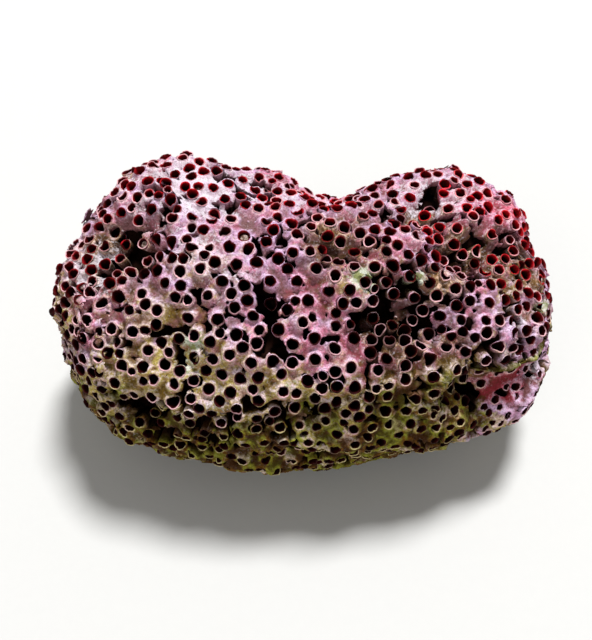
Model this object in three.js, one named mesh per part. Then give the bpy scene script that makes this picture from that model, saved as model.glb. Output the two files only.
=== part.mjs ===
// A palm-sized fragment of a red organ-pipe coral colony, in millimetres, +Z up, seen from -Y.
// The colony is one grown skeleton: a lump with two lobes at the back, a waist and broken hollows,
// covered all over with the round mouths of its pipes, and cut off flat where it stood on the reef.
import * as THREE from "three";
import { ConvexHull } from "three/addons/math/ConvexHull.js";

// The lump before its lobes: a rounded block whose broad face leans back and looks up to the front.
const HALF_WIDTH = 39.5;
const HALF_RISE = 21.6;
const HALF_DEPTH = 20;
const SQUARENESS = 2.4;
const LEAN = 50;
const CENTRE_HEIGHT = 18;

// Places on the lump are given from its centre: azimuth 0 is the front (-Y), 90 the right (+X),
// 180 the back, and elevation is above the horizon, both in degrees. Height is in millimetres, and
// spread is the angle in degrees at which a swelling or hollow has faded to about a third.
const SWELLINGS = [
  { place: "left lobe", azimuth: -131, elevation: 32, height: 9.3, spread: 20 },
  { place: "left lobe, inner side", azimuth: -173, elevation: 43, height: 3.0, spread: 12 },
  { place: "right lobe", azimuth: 130, elevation: 26.5, height: 7.4, spread: 15 },
  { place: "right lobe, outer side", azimuth: 113, elevation: 23.5, height: 4.9, spread: 11 },
  { place: "right flank", azimuth: 97, elevation: 8, height: 2.3, spread: 12 },
  { place: "belly", azimuth: 5, elevation: -38, height: 0.2, spread: 21 },
  { place: "crust above the cave, inner end", azimuth: 56, elevation: 23, height: 1.6, spread: 6 },
  { place: "crust above the cave, middle", azimuth: 67, elevation: 19, height: 1.4, spread: 5.5 },
  { place: "crust above the cave, outer end", azimuth: 79, elevation: 13, height: 1.2, spread: 5 },
];

const HOLLOWS = [
  { place: "notch between the lobes", azimuth: 162, elevation: 42, depth: 1.5, spread: 13 },
  { place: "valley in front of the notch", azimuth: 84, elevation: 72, depth: 1.8, spread: 9 },
  { place: "left waist", azimuth: -80, elevation: -1, depth: 4.1, spread: 14 },
  { place: "left underside", azimuth: -52, elevation: -20, depth: 1.3, spread: 20 },
  { place: "right underside", azimuth: 46, elevation: -22.5, depth: 1.3, spread: 19 },
  { place: "big hollow, inner part", azimuth: 48, elevation: 45, depth: 3.4, spread: 6.5 },
  { place: "big hollow, outer part", azimuth: 62, elevation: 37, depth: 3.4, spread: 7 },
  { place: "cave", azimuth: 60, elevation: 12.5, depth: 5.2, spread: 6 },
  { place: "recess beside the cave", azimuth: 66, elevation: 3, depth: 2.6, spread: 8 },
  { place: "pocket in the right lobe", azimuth: 109, elevation: 43, depth: 2.4, spread: 6 },
  { place: "pocket on the right shoulder", azimuth: 91, elevation: 35, depth: 2.6, spread: 6.5 },
  { place: "pocket on the left shoulder", azimuth: -92, elevation: 38, depth: 2.2, spread: 8 },
  { place: "pocket low on the left", azimuth: -51, elevation: 8, depth: 2.2, spread: 6.5 },
  { place: "pocket under the left pocket", azimuth: -43, elevation: -4, depth: 1.6, spread: 6 },
  { place: "pocket at the back", azimuth: -165, elevation: 6, depth: 2.4, spread: 9 },
  { place: "pocket at the back, right", azimuth: 142, elevation: -4, depth: 2.0, spread: 7 },
];

// Across the front the outer layer of pipes ends in a low step that faces down.
const STEP = { elevation: 19, drop: 1.1, sharpness: 2.5, fade: 26, halfWidth: 48 };

// Slow unevenness over the whole lump, in millimetres, with about this many waves in a radian.
const UNEVENNESS = 0.45;
const WAVES = 12;

// Pipes: the mouth is a little wider than the clear bore inside it. The pipes end a little above or
// below the surface and lean a little off it, each by its own amount up to these.
const MOUTH_RADIUS = 0.92;
const MOUTH_SIDES = 5;
const MOUTH_DEPTH = 2.5;
const PIPE_SPACING = 2.66;
const MOST_RISE = 0.35;
const MOST_LEAN = 9;
const LOWEST_PIPE = 2.7;
const PIPE_TRIES = 250000;
const SEED = 20260;
const LARGEST_SHARE = 2900;
const NORMAL_STEP = 0.03;

const BASE_POINTS = 60;
const SKIRT_HEIGHT = 1.2;
const CORAL_RED = 0xa8607a;

const radians = THREE.MathUtils.degToRad;

function directionAt(azimuth, elevation) {
  const a = radians(azimuth);
  const e = radians(elevation);
  return new THREE.Vector3(Math.sin(a) * Math.cos(e), -Math.cos(a) * Math.cos(e), Math.sin(e));
}

// A fixed sequence of numbers from 0 to 1, the same on every run.
function makeSequence(seed) {
  let state = seed;
  return () => {
    state = (state + 0x6d2b79f5) | 0;
    let t = Math.imul(state ^ (state >>> 15), 1 | state);
    t = (t + Math.imul(t ^ (t >>> 7), 61 | t)) ^ t;
    return ((t ^ (t >>> 14)) >>> 0) / 4294967296;
  };
}

function reliefOf({ azimuth, elevation, spread }, rise) {
  return { at: directionAt(azimuth, elevation), spread: radians(spread), rise };
}

const relief = [...SWELLINGS.map((s) => reliefOf(s, s.height)), ...HOLLOWS.map((h) => reliefOf(h, -h.depth))];

// Distance from the centre to the rounded block, along a unit direction.
function blockRadius(d) {
  const lean = radians(LEAN);
  const rise = d.y * Math.sin(lean) + d.z * Math.cos(lean);
  const face = -d.y * Math.cos(lean) + d.z * Math.sin(lean);
  const sum =
    Math.abs(d.x / HALF_WIDTH) ** SQUARENESS +
    Math.abs(rise / HALF_RISE) ** SQUARENESS +
    Math.abs(face / HALF_DEPTH) ** SQUARENESS;
  return sum ** (-1 / SQUARENESS);
}

// How far the surface drops below the step across the front.
function stepDrop(d) {
  const azimuth = THREE.MathUtils.radToDeg(Math.atan2(d.x, -d.y));
  const below = STEP.elevation - THREE.MathUtils.radToDeg(Math.asin(d.z));
  const edge = 1 / (1 + Math.exp(-below / STEP.sharpness));
  return STEP.drop * edge * Math.exp(-((below / STEP.fade) ** 2) - (azimuth / STEP.halfWidth) ** 4);
}

function outerRadius(d) {
  let r = blockRadius(d) - stepDrop(d);
  for (const { at, rise, spread } of relief) {
    r += rise * Math.exp(-((d.angleTo(at) / spread) ** 2));
  }
  const waves = Math.sin(WAVES * d.x + 1) * Math.sin(WAVES * d.y + 2) + Math.sin(WAVES * d.z + 3 * d.x);
  return r + UNEVENNESS * waves;
}

function surfacePoint(d) {
  const p = d.clone().multiplyScalar(outerRadius(d));
  p.z += CENTRE_HEIGHT;
  return p;
}

// The direction from the centre in which a point lies.
function directionOf(p) {
  return new THREE.Vector3(p.x, p.y, p.z - CENTRE_HEIGHT).normalize();
}

// Two directions square to d and to each other.
function crossDirections(d) {
  const isSteep = Math.abs(d.z) > 0.9;
  const helper = isSteep ? new THREE.Vector3(1, 0, 0) : new THREE.Vector3(0, 0, 1);
  const u = new THREE.Vector3().crossVectors(helper, d).normalize();
  return [u, new THREE.Vector3().crossVectors(d, u)];
}

// The way the surface faces, taken over about a pipe's width so that it doesn't follow small relief.
function surfaceNormal(d) {
  const [u, v] = crossDirections(d);
  const near = (t, step) => surfacePoint(d.clone().addScaledVector(t, step).normalize());
  const along = (t) => near(t, NORMAL_STEP).sub(near(t, -NORMAL_STEP));
  return new THREE.Vector3().crossVectors(along(u), along(v)).normalize();
}

// The surface that a small cone of directions takes up, up to a factor: it grows with the square of
// the distance, and where the surface is slanted to the direction. A very steep slant counts no further.
function surfaceShare(d, point, axis) {
  const leastFacing = 0.35;
  const distance = point.distanceTo(new THREE.Vector3(0, 0, CENTRE_HEIGHT));
  return distance ** 2 / Math.max(leastFacing, axis.dot(d));
}

// Scatters the pipes over the surface, never closer than the spacing and no lower than the lowest pipe.
function scatterPipes() {
  const next = makeSequence(SEED);
  const pipes = [];
  for (let i = 0; i < PIPE_TRIES; i += 1) {
    const z = 2 * next() - 1;
    const turn = 2 * Math.PI * next();
    const chance = next();
    const ring = Math.sqrt(1 - z * z);
    const d = new THREE.Vector3(ring * Math.cos(turn), ring * Math.sin(turn), z);
    const foot = surfacePoint(d);
    if (foot.z < LOWEST_PIPE) continue;
    const axis = surfaceNormal(d);
    if (chance * LARGEST_SHARE > surfaceShare(d, foot, axis)) continue;
    if (pipes.some((p) => p.foot.distanceTo(foot) < PIPE_SPACING)) continue;
    const mouth = foot.clone();
    const [u, v] = crossDirections(axis);
    const lean = Math.tan(radians(MOST_LEAN)) * Math.sqrt(next());
    const side = 2 * Math.PI * next();
    mouth.addScaledVector(axis, MOST_RISE * (2 * next() - 1));
    axis.addScaledVector(u, lean * Math.cos(side)).addScaledVector(v, lean * Math.sin(side)).normalize();
    pipes.push({ foot, mouth, axis, turn: next() * Math.PI });
  }
  return pipes;
}

// A vertex keeps the place where it ends up, the direction in which it is joined to its neighbours,
// and the pipe that it belongs to.
function vertex(place, owner, joinAt = place) {
  return { place, join: directionOf(joinAt), owner, isFloor: joinAt !== place };
}

function pipeVertices({ mouth, axis, turn }, owner) {
  const [u, v] = crossDirections(axis);
  const made = [];
  for (let k = 0; k < MOUTH_SIDES; k += 1) {
    const a = turn + (2 * Math.PI * k) / MOUTH_SIDES;
    const rim = mouth
      .clone()
      .addScaledVector(u, MOUTH_RADIUS * Math.cos(a))
      .addScaledVector(v, MOUTH_RADIUS * Math.sin(a));
    made.push(vertex(rim, owner));
  }
  made.push(vertex(mouth.clone().addScaledVector(axis, -MOUTH_DEPTH), owner, mouth));
  return made;
}

// The surface point at a height above the base, below the centre, straight out at one azimuth. Its
// elevation is found by halving the span that it lies in.
function pointAtHeight(azimuth, height) {
  let low = -89;
  let high = -5;
  while (high - low > 1e-9) {
    const middle = (low + high) / 2;
    if (surfacePoint(directionAt(azimuth, middle)).z < height) low = middle;
    else high = middle;
  }
  const p = surfacePoint(directionAt(azimuth, low));
  p.z = height;
  return p;
}

function baseVertices() {
  const made = [vertex(new THREE.Vector3(0, 0, 0), "base")];
  for (let k = 0; k < BASE_POINTS; k += 1) {
    const azimuth = (360 * k) / BASE_POINTS;
    made.push(vertex(pointAtHeight(azimuth, 0), "base"));
    made.push(vertex(pointAtHeight(azimuth + 180 / BASE_POINTS, SKIRT_HEIGHT), "skirt"));
  }
  return made;
}

// Joins the vertices into one closed surface: seen from the centre they lie on a sphere, and the
// faces of their convex hull there are the triangles between neighbours.
function joinVertices(vertices) {
  const points = vertices.map((v, i) => Object.assign(v.join.clone(), { vertexIndex: i }));
  const triangles = [];
  for (const face of new ConvexHull().setFromPoints(points).faces) {
    const first = face.edge;
    const corners = [first, first.next, first.prev].map((edge) => edge.head().point.vertexIndex);
    triangles.push(corners);
  }
  return triangles;
}

// The pipes whose floor is joined to anything but their own rim.
function spoiledPipes(vertices, triangles) {
  const spoiled = new Set();
  for (const triangle of triangles) {
    const owners = triangle.map((i) => vertices[i].owner);
    const floor = triangle.find((i) => vertices[i].isFloor);
    if (floor === undefined) continue;
    const owner = vertices[floor].owner;
    if (owners.some((o) => o !== owner)) spoiled.add(owner);
  }
  return spoiled;
}

// A spoiled pipe is left out and the rest are joined again, until every pipe that stays is whole.
function wholeSurface(pipes) {
  const vertices = [...pipes.flatMap(pipeVertices), ...baseVertices()];
  const triangles = joinVertices(vertices);
  const spoiled = spoiledPipes(vertices, triangles);
  if (spoiled.size > 0) return wholeSurface(pipes.filter((_, i) => !spoiled.has(i)));
  return { vertices, triangles };
}

function colonyGeometry() {
  const { vertices, triangles } = wholeSurface(scatterPipes());
  const places = vertices.flatMap((v) => v.place.toArray());
  const geometry = new THREE.BufferGeometry();
  geometry.setAttribute("position", new THREE.Float32BufferAttribute(places, 3));
  geometry.setIndex(triangles.flat());
  geometry.computeVertexNormals();
  return geometry;
}

// The origin is on the cut base, under the middle of the lump.
function organPipeCoral() {
  const finish = new THREE.MeshStandardMaterial({ color: CORAL_RED, roughness: 0.85, metalness: 0 });
  const geometry = colonyGeometry();
  geometry.computeBoundingBox();
  const { min, max } = geometry.boundingBox;
  geometry.translate(-(min.x + max.x) / 2, -(min.y + max.y) / 2, 0);
  const mesh = new THREE.Mesh(geometry, finish);
  mesh.name = "organ_pipe_coral";
  return mesh;
}

const coral = new THREE.Group();
coral.add(organPipeCoral());

export default coral;
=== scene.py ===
# The looks of a fragment of red organ-pipe coral: its pipes, the crust between them, the next
# platform down that shows through the gaps, the cut underside and a few broken shards.
import math

import bmesh
import bpy
import numpy as np
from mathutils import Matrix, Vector
from mathutils.bvhtree import BVHTree
from mathutils.geometry import delaunay_2d_cdt
from mathutils.kdtree import KDTree


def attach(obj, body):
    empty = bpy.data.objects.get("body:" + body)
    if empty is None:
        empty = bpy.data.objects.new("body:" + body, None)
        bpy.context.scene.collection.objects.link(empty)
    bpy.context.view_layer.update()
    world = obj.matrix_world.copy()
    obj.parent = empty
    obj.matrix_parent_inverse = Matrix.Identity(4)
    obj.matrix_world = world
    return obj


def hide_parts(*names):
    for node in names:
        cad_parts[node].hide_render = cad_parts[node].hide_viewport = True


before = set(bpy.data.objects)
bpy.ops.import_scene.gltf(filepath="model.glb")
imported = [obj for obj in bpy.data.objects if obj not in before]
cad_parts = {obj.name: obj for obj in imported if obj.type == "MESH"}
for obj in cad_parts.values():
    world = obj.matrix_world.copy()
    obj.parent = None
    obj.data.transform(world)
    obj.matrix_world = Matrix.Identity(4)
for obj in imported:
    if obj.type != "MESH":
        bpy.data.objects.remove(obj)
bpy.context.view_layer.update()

# Lengths are in millimetres until a mesh is written, and angles in degrees. Each layer of noise is
# its height, its wavelength and a number of its own.
MM = 0.001
NODE = "organ_pipe_coral"

# The photographed view: the camera looks along +Y and down, at a point inside the lump. What it
# sees lies between these distances in metres.
LENS_MM = 42.4
SENSOR_MM = 36.0
VIEW_ELEVATION = 52.0
VIEW_DISTANCE = 121.5
VIEW_TARGET = (-1.275, 1.62, 18.0)
CLIP = (0.005, 20)

# Lights: azimuth, elevation, distance and size in metres, power in watts and colour. The floor's
# half width is in metres too.
LIGHTS = [
    ("key", 155, 70, 1.5, 0.36, 33, (1, 1, 1)),
    ("fill", -35, 30, 1.5, 1.1, 5.6, (1.0, 0.99, 0.97)),
]
SKY_COLOUR = (1.0, 0.99, 0.97, 1)
SKY_STRENGTH = 0.29
FLOOR_HALF_WIDTH = 2.0

# Places on the lump are given from its centre: azimuth 0 is the front (-Y), 90 the right (+X),
# and elevation is above the horizon.
CENTRE = np.array([-1.475, -0.731, 18.0])

# Pipes: those of the last layer, low down, are thinner, closer together and lean upwards.
SIDES = 16
UPPER_RADIUS = (0.82, 0.96)
LOWER_RADIUS = (0.74, 0.88)
LEAST_RADIUS = 0.56
PIPE_LENGTH = 5.4
FLOOR_THICKNESS = 0.5
LEAST_GAP = 0.07
FOOT_DEPTH = 1.6
RISE = (0.2, 2.4)
LOWEST_PIPE = 2.4
LOWER_LEAN = 2.0
MOST_LEAN = 40.0
PUSHES = 12

# Younger pipes stand between the others, a little lower and less upright. The upper ones are at
# least this much thicker, and a share of the squeezed ones is left out.
MOST_YOUNG_PIPES = 720
YOUNG_TRIES = 60000
YOUNG_LEAN = 0.05
YOUNG_SHIFT = (-0.25, 0.15)
UPPER_EXTRA = 0.1
SQUEEZED = 0.85
SQUEEZED_LOSS = 0.6

# The upper pipes lean this much from the surface's direction towards where the coral grew:
# azimuth and elevation.
GROWTH_LEAN = 0.42
GROWTH = (0, 60)

# No pipe is quite round: waves round it, their usual height as a share of the radius, and how
# many half turns they may be turned.
OUT_OF_ROUND = [(2, 0.045, 1), (5, 0.025, 1), (3, 0.035, 2)]

# A solid's mouth floor lies this deep under its rim, which has this many corners at most.
MOUTH_DEPTH = (2.2, 2.7)
MOUTH_SIDES = 6

# A pipe's profile from its buried outer end over the rim to its floor: depth under the rim,
# share of the outer radius, which part it is, how far up to the rim it is (below 0 deep in the
# dark), and how worn and pale.
PROFILE = [
    (None, 0.66, "end", -1.0, 0.0),
    (2.6, 0.86, "outer", -1.0, 0.0),
    (0.9, 0.97, "outer", 0.3, 0.0),
    (0.1, 1.0, "outer", 0.9, 0.3),
    (0.0, 0.965, "outer", 1.0, 1.0),
    (0.01, 0.87, "inner", 1.0, 0.9),
    (0.1, 0.825, "inner", 0.8, 0.35),
    (0.4, 0.80, "inner", 0.5, 0.0),
    (2.4, 0.73, "inner", -1.0, 0.0),
    (None, 0.56, "floor", -1.0, 0.0),
]
RIM_DEPTH = 0.2

# The rims are uneven: notches down into them, teeth on their inner edge, a tilt, and some stand
# prouder. Shares of them are chipped or broken, and a few pipes are filled up.
RIM_NOTCH = 0.12
RIM_TOOTH = 0.12
RIM_TILT = 0.07
PROUD = 0.13
CHIPPED = 0.5
CHIP_DEPTH = (0.1, 0.45)
BROKEN = 0.16
BREAK_DEPTH = (0.5, 1.3)
FILLED = 0.008
FILL_DEPTH = (0.4, 1.8)

# Areas where more of the rims are broken: azimuth, elevation and size.
RAGGED = [
    (-85, 26, 8), (-104, 12, 10), (84, 16, 4), (78, 4, 4), (54, 38, 6), (66, 22, 5), (105, 50, 5),
    (-100, 55, 6), (180, 40, 8),
]

# The pipes and the crust are made in three groups, from left to right.
GROUPS = ("left", "middle", "right")
GROUP_EDGES = [-13.0, 13.0]

# Crust between the pipes, with its outer face this far under the solid's surface. Its grain keeps
# clear of the pipes, and all of it eases off towards the cut.
CRUST_RECESS = 0.95
LOWER_RECESS = 0.58
LEAST_RECESS = 0.65
CRUST_THICKNESS = 0.45
INNER_GRAIN = [(0.08, 1.3, 33)]
RELIEF = [(0.35, 4.2, 11), (0.3, 2.0, 12)]
LOWER_CALM = 0.2
GRAIN = [(0.3, 1.2, 31), (0.28, 0.55, 32)]
GRAIN_CLEAR = 0.35
CUT_EASE = 1.4

# Its points: how far apart they are, and how far its edge reaches into a pipe's wall. Nothing but
# the cut's own edge lies below the lowest point.
CRUST_GRAIN = 0.31
COLLAR_GRAIN = 0.15
GRAIN_TRIES = 190000
WALL_OVERLAP = -0.07
MOST_STEP = 1.6
LOWEST_POINT = 0.3

# Collars that the crust draws up round the pipes: rings of points round each pipe's wall, how far
# a collar reaches out, how steeply it ends, how far it climbs and how near a pipe it leans with
# it. Its worn edge is this wide where it has climbed this high.
COLLAR_RINGS = (0.13, 0.36)
COLLAR_REACH = 0.56
COLLAR_FADE = 1.2
MOST_CLIMB = 1.1
COLLAR_LEAN = 0.4
WORN_COLLAR = 0.2
WORN_HEIGHT = 0.3

# How much of the crust is broken away between the pipes, as a threshold on noise of spread 1. Low
# down more of it holds, and by the cut all of it. It sags towards a gap. More of it is lost where
# there is room between pipes (from how much, up to how much, and how fast), and torn from some.
CRUST_HOLD = 1.42
LOWER_HOLD = 0.25
WHOLE_BELOW = 1.2
NOISE_SPREAD = 0.5
GAP_NOISE = [(1.0, 3.2, 21), (0.8, 1.6, 22), (0.75, 0.7, 23)]
OPEN_ROOM = (0.3, 0.8, 1.3)
TORN_NOISE = [(1.0, 2.1, 24)]
TORN_EDGE = (0.12, 0.4)
TORN_REACH = 0.4
TORN_SHARE = 1.6
GAP_SAG = 0.16
SAG_REACH = 0.3

# Places where the crust is broken away, or whole when the strength is below 0:
# azimuth, elevation, size and strength.
GAPS = [
    # The hollow and round it.
    (60, 47, 1.25, 2.4), (43, 46, 1.15, 2.4), (50, 38, 1.35, 2.4), (63, 34, 1.4, 2.4),
    (54, 41, 5.0, 0.3), (75, 47, 1.3, 1.8), (73, 33, 1.4, 1.8), (37, 34, 1.3, 1.8),
    (52, 30, 1.3, 1.8),
    # The cave under the right ledge, and the plate beside it with its pits.
    (61.5, 8.5, 1.2, 4.2), (61.5, 5, 0.9, 4.0), (69, 4, 3.6, -3.5), (67.3, 3.8, 1.0, 8.5),
    (68.8, 4.2, 0.6, 6.0), (70.8, 2.2, 0.65, 6.5), (75, 3.6, 0.7, 7.0), (72.5, 6.5, 0.5, 6.0),
    (68, -1.5, 0.6, 6.0), (74, -2.5, 0.55, 6.0), (78, 7.5, 0.7, 6.0), (79, 2, 0.65, 6.0),
    (84, 6, 0.6, 6.0),
    # The right side and shoulder, and the front low down.
    (74, 16, 1.3, 2.6), (66, 19, 1.5, 2.0), (60, 4, 10.0, 0.4), (0, 2, 14.0, 0.3),
    (76, 32, 9.0, 0.5), (67, 29, 1.2, 3.0), (97, 32, 1.3, 2.8), (87, 32, 1.0, 2.6),
    (118, 40, 1.3, 2.4), (71, 45, 1.1, 2.4), (62, 25, 0.9, 2.2), (84, 14.5, 1.0, 3.0),
    (110, 45, 1.0, 2.2), (93, 36, 1.5, 2.6), (92, 30, 5.0, 0.4), (80, 34, 1.1, 1.8),
    # The notch and the top.
    (85, 72, 1.7, 1.6), (70, 66, 1.3, 1.6), (-26, 61, 1.7, 2.8), (-12, 49, 1.3, 1.8),
    (-127, 84, 1.4, 1.6), (23, 86, 1.3, 1.6), (2, 74, 1.4, 1.6),
    # The left shoulder.
    (-100, 34, 1.6, 2.6), (-88, 40, 1.4, 2.0), (-88, 30, 1.5, 2.2), (-92, 34, 6.0, 0.5),
    # Left of the middle, and the cavities at the bottom left.
    (-65, 44, 1.3, 1.6), (-55, 8, 2.0, 2.4), (-47, -4, 1.5, 3.6), (-39, -4, 1.6, 3.6),
    (-32, -5, 1.1, 3.2),
    # The front and the right edge.
    (-43, 18, 1.2, 1.8), (24, 31, 1.2, 1.8), (-5, 10, 1.3, 1.4), (98, 24, 1.6, 2.0),
    (106, 33, 1.4, 1.8), (72, 25, 1.4, 1.8), (5, 40, 1.2, 1.6), (-70, 55, 1.1, 1.4),
    # The back and the left end.
    (-165, 6, 2.4, 2.2), (142, -4, 2.2, 2.2), (175, 30, 1.8, 1.8), (-95, 2, 1.6, 1.8),
]

# Pipes are broken off deep down in the strongest of them.
LOSS_STRENGTH = 2.3
LOSS_SHARE = 0.55
LOSS_DEPTH = (1.2, 3.0)

# Areas where the crust lies deeper and the pipes stand free: azimuth, elevation, size and depth.
SUNKEN = [
    (54, 41, 6.0, 0.9), (-92, 34, 6.5, 0.7), (95, 33, 4.5, 0.8), (110, 45, 2.6, 0.5),
    (85, 72, 3.5, 0.5), (95, 20, 5.0, 0.5),
]

# The crimson plate at the lower right: azimuth, elevation and size.
PLATE = (69, 3, 4.8)
PLATE_RISE = 0.45
PLATE_SWELL = 0.1
PLATE_RELIEF = [(0.4, 1.7, 14)]
PLATE_THINNER = 0.3

# Ridges of crust: azimuths and elevations along each, its height and its half width. The first
# ones are green and bear no pipes.
RIDGES = [
    ([57, 60, 64, 67, 70, 75, 79, 83, 88], [20, 18.5, 16, 13.5, 12, 10, 9, 8, 6.5], 1.4, 0.55),
    ([-60, -52, -44, -36, -28, -20], [1, 0.5, 0, 0, -1, -2], 0.5, 0.5),
    ([-50, -42, -32, -24, -15, -5], [14.5, 16.5, 18.5, 19, 20, 20.5], 0.45, 0.4),
    ([24, 31, 38, 45], [15.5, 12.5, 13.5, 15], 0.45, 0.4),
]
GREEN_RIDGES = 2
RIDGE_ROOM = 0.55
RIDGE_STEPS = 8

# Lumps of crust: azimuth, elevation, size and height.
LUMPS = [
    (68.5, 7, 1.8, 0.5), (70, -4, 3.8, 2.0), (80, -2, 3.2, 1.4), (61, -8, 3.0, 0.8),
    (74, 9, 0.6, 1.1), (77, 7.5, 0.7, 1.4), (80.5, 5.5, 0.7, 1.3), (76, 3.5, 0.6, 1.1),
    (80, 0.5, 0.7, 1.0), (73, -1, 0.7, 0.7), (65, 7, 1.2, 0.5), (-74, 27, 1.0, 0.6),
    (-106, 24, 3.6, 1.5), (-112, 12, 3.0, 1.2), (-100, 8, 2.6, 0.7), (104, 58, 1.2, 0.7),
    (-132, 47, 1.2, 0.8), (-118, 56, 1.0, 0.7), (140, 50, 1.3, 0.8),
]

# What lies below the pipes, how deep it is, and places where it is deeper: azimuth, elevation,
# size and depth.
PLATFORM_DEPTH = 3.9
PLATFORM_HUMPS = [(0.6, 6, 41), (0.35, 1.6, 42)]
PLATFORM_STEPS = 6
LOWEST_PLATFORM = 1.0
DEEPER = [
    (61.5, 7, 2.2, 5.0), (-47, -4, 2.0, 3.0), (-38, -4, 2.2, 3.0), (-55, 8, 1.6, 2.5),
    (43, 46, 2.0, 2.5), (50, 38, 2.0, 2.5), (61, 40, 3.0, 2.5), (-26, 61, 2.2, 2.5),
    (-12, 49, 1.8, 2.5),
]

# Areas without pipes: azimuth, elevation and radius.
BARE = [
    (66.5, 9.5, 1.0), (61.5, 8.5, 1.25), (61.5, 5, 0.9), (-47, -4, 1.0), (-39, -4, 1.1),
    (-32, -5, 0.8), (-55, 8, 1.0),
]

# The upper layer of pipes ends in a ledge across the front: azimuth and elevation along its edge,
# which wanders by some degrees. Gaps under it: how far below it they are, their reach and their
# strength.
LEDGE = [
    (-180, 2), (-130, -2), (-100, 4), (-75, 9), (-55, 13), (-45, 16), (-32, 18.6), (-15, 20),
    (2, 21), (20, 18), (31, 13), (45, 15), (56, 21), (66, 16.6), (80, 11), (92, 6), (110, 2),
    (140, 4), (180, 2),
]
LEDGE_WANDER = [(3.0, 0.12, 91), (2.0, 0.045, 92)]
LEDGE_SPAN = (-85, 98)
LEDGE_FADE = 15
LEDGE_LIFT = 0.32
LEDGE_EDGE = 0.35
LEDGE_REACH = 2.2
MM_PER_DEGREE = 0.4
LOWER_EDGE = (-1.0, 1.0)
UNDER_LEDGE = (0.5, 0.4, 0.7)

# Where the olive colour ends, going up the lump: azimuth and elevation. Low down the olive and
# khaki are partly growth on the coral and partly painted green light reflected from below. The
# line wanders by some degrees, and holes in the growth leave the coral bare. Its edge and the
# khaki's are this many degrees wide.
OLIVE = [
    (-180, 2), (-130, -2), (-100, -2), (-88, 0), (-75, 6), (-60, 15), (-45, 24), (-30, 28),
    (-15, 28), (0, 27), (15, 27), (30, 27), (45, 26), (55, 24), (65, 20), (78, 10), (88, 2),
    (100, -4), (130, -4), (180, 2),
]
OLIVE_WANDER = [(11, 6.5, 51), (7, 2.1, 52)]
OLIVE_HOLES = [(1.0, 3.0, 53), (0.5, 1.2, 54)]
OLIVE_EDGE = 16
HOLE_EDGE = (0.25, 0.6)
HOLE_SHARE = 0.6
KHAKI_EDGE = 9
CLEANED = 1.3
RIDGE_GREEN = 0.8

# Areas low down that it leaves out: azimuth, elevation and size.
CLEAN = [(69, 3, 4.8), (57, -7, 2.2), (66, -8, 3.0), (84, 2, 4.0), (98, 8, 5.0)]

# Sides that face this way are painted paler, partly dust and partly painted highlight, and sides
# that face away get painted shade: azimuth and elevation.
PAINTED_LIGHT_SIDE = (180, 60)

# Stained areas, and where light is painted into the pipes: azimuth, elevation, size and strength.
STAINS = {
    "dust": [
        (-125, 50, 9, 1.0), (-85, 56, 6, 0.7), (-60, 62, 5, 0.5), (-88, 28, 6, 0.9),
        (-100, 15, 7, 0.9), (120, 38, 8, 0.75), (100, 52, 4, 0.4), (150, 58, 6, 0.7),
        (-150, 55, 7, 0.8), (180, 62, 6, 0.7), (78, 20, 2.2, 0.9), (74, 17, 1.4, 0.9),
        (77, 4.5, 2.4, 1.3), (-30, 21, 2.6, 0.7), (8, 21, 2.0, 0.5), (160, 25, 9, 0.4),
        (-160, 25, 9, 0.4),
    ],
    "khaki": [
        (-40, 18, 13, 1.0), (-12, 22, 9, 0.9), (20, 16, 9, 0.85), (45, 20, 7, 0.65),
        (-85, 12, 9, 0.9), (-60, 36, 6, 0.7), (85, 22, 6, 0.7), (-15, 58, 5, 0.35),
        (60, 62, 8, 0.5), (-70, 58, 7, 0.45), (150, 20, 9, 0.6), (-150, 15, 10, 0.7),
        (-125, 30, 7, 0.5),
    ],
    "crimson": [
        (67.5, 7, 3.2, 1.5), (76, 1, 1.6, 0.7), (108, 27, 4.5, 0.7), (118, 36, 3.0, 0.6),
        (84, 14, 1.6, 0.8), (-97, 38, 2.2, 0.6), (-128, 40, 4.0, 0.5), (165, 45, 5.0, 0.4),
    ],
    "orchid": [
        (71, -1, 4.0, 1.2), (79, 5, 3.0, 1.0), (84, 3, 4.0, 1.0), (98, 8, 6.0, 0.9),
        (84, 20, 3.0, 0.7), (58, -6, 2.5, 0.8), (120, 12, 5.0, 0.7), (-120, 20, 5.0, 0.7),
        (-160, 35, 5.0, 0.6), (150, 38, 5.0, 0.6), (-75, 62, 4.0, 0.5), (90, 42, 5.0, 0.8),
        (-20, 70, 4.0, 0.6),
    ],
    "rose": [
        (34, 40, 5, 1.0), (44, 28, 4, 0.9), (5, 50, 6, 0.6), (30, 62, 4, 0.7), (-15, 44, 6, 0.6),
        (-78, 24, 4.5, 1.1), (-42, 34, 2.2, 1.0), (-97, 40, 2.6, 0.8), (68, 7, 2.4, 0.8),
        (104, 30, 9, 0.9), (80, 58, 5, 0.6), (-82, 28, 2.5, 0.7), (170, 40, 9, 0.6),
        (-140, 12, 8, 0.5),
    ],
    # Painted light: where the pipes' red insides are painted bright, as if light fell into them.
    "lit": [
        (112, 33, 12, 1.0), (-128, 48, 10, 0.65), (175, 60, 12, 0.7), (92, 24, 6, 0.7),
        (-95, 30, 6, 0.5),
    ],
    "algae": [
        (60, 60, 2.8, 1.0), (-48, 38, 1.9, 1.0), (-58, 20, 1.8, 0.4), (-45, 29, 2.5, 0.6),
        (75, 46, 1.3, 0.9), (86, 15, 2.2, 0.9), (0, 32, 1.5, 0.5), (-104, 4, 7, 0.75),
        (-100, -8, 5, 0.6), (150, 10, 4, 0.5),
    ],
    "brown": [
        (52, 39, 5.5, 0.7), (60, 28, 4, 0.5), (64, 11, 4, 1.0), (90, 75, 6, 0.7),
        (-92, 33, 6, 0.75), (-76, 33, 3, 0.6), (-84, 16, 3, 0.5), (-55, 10, 4, 0.6),
        (-62, 32, 5, 0.45), (110, 43, 3, 0.8), (92, 22, 6, 0.6), (95, 34, 4, 0.8), (75, 40, 4, 0.7),
        (-120, 5, 8, 0.5), (130, 8, 8, 0.5),
    ],
}

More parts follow.
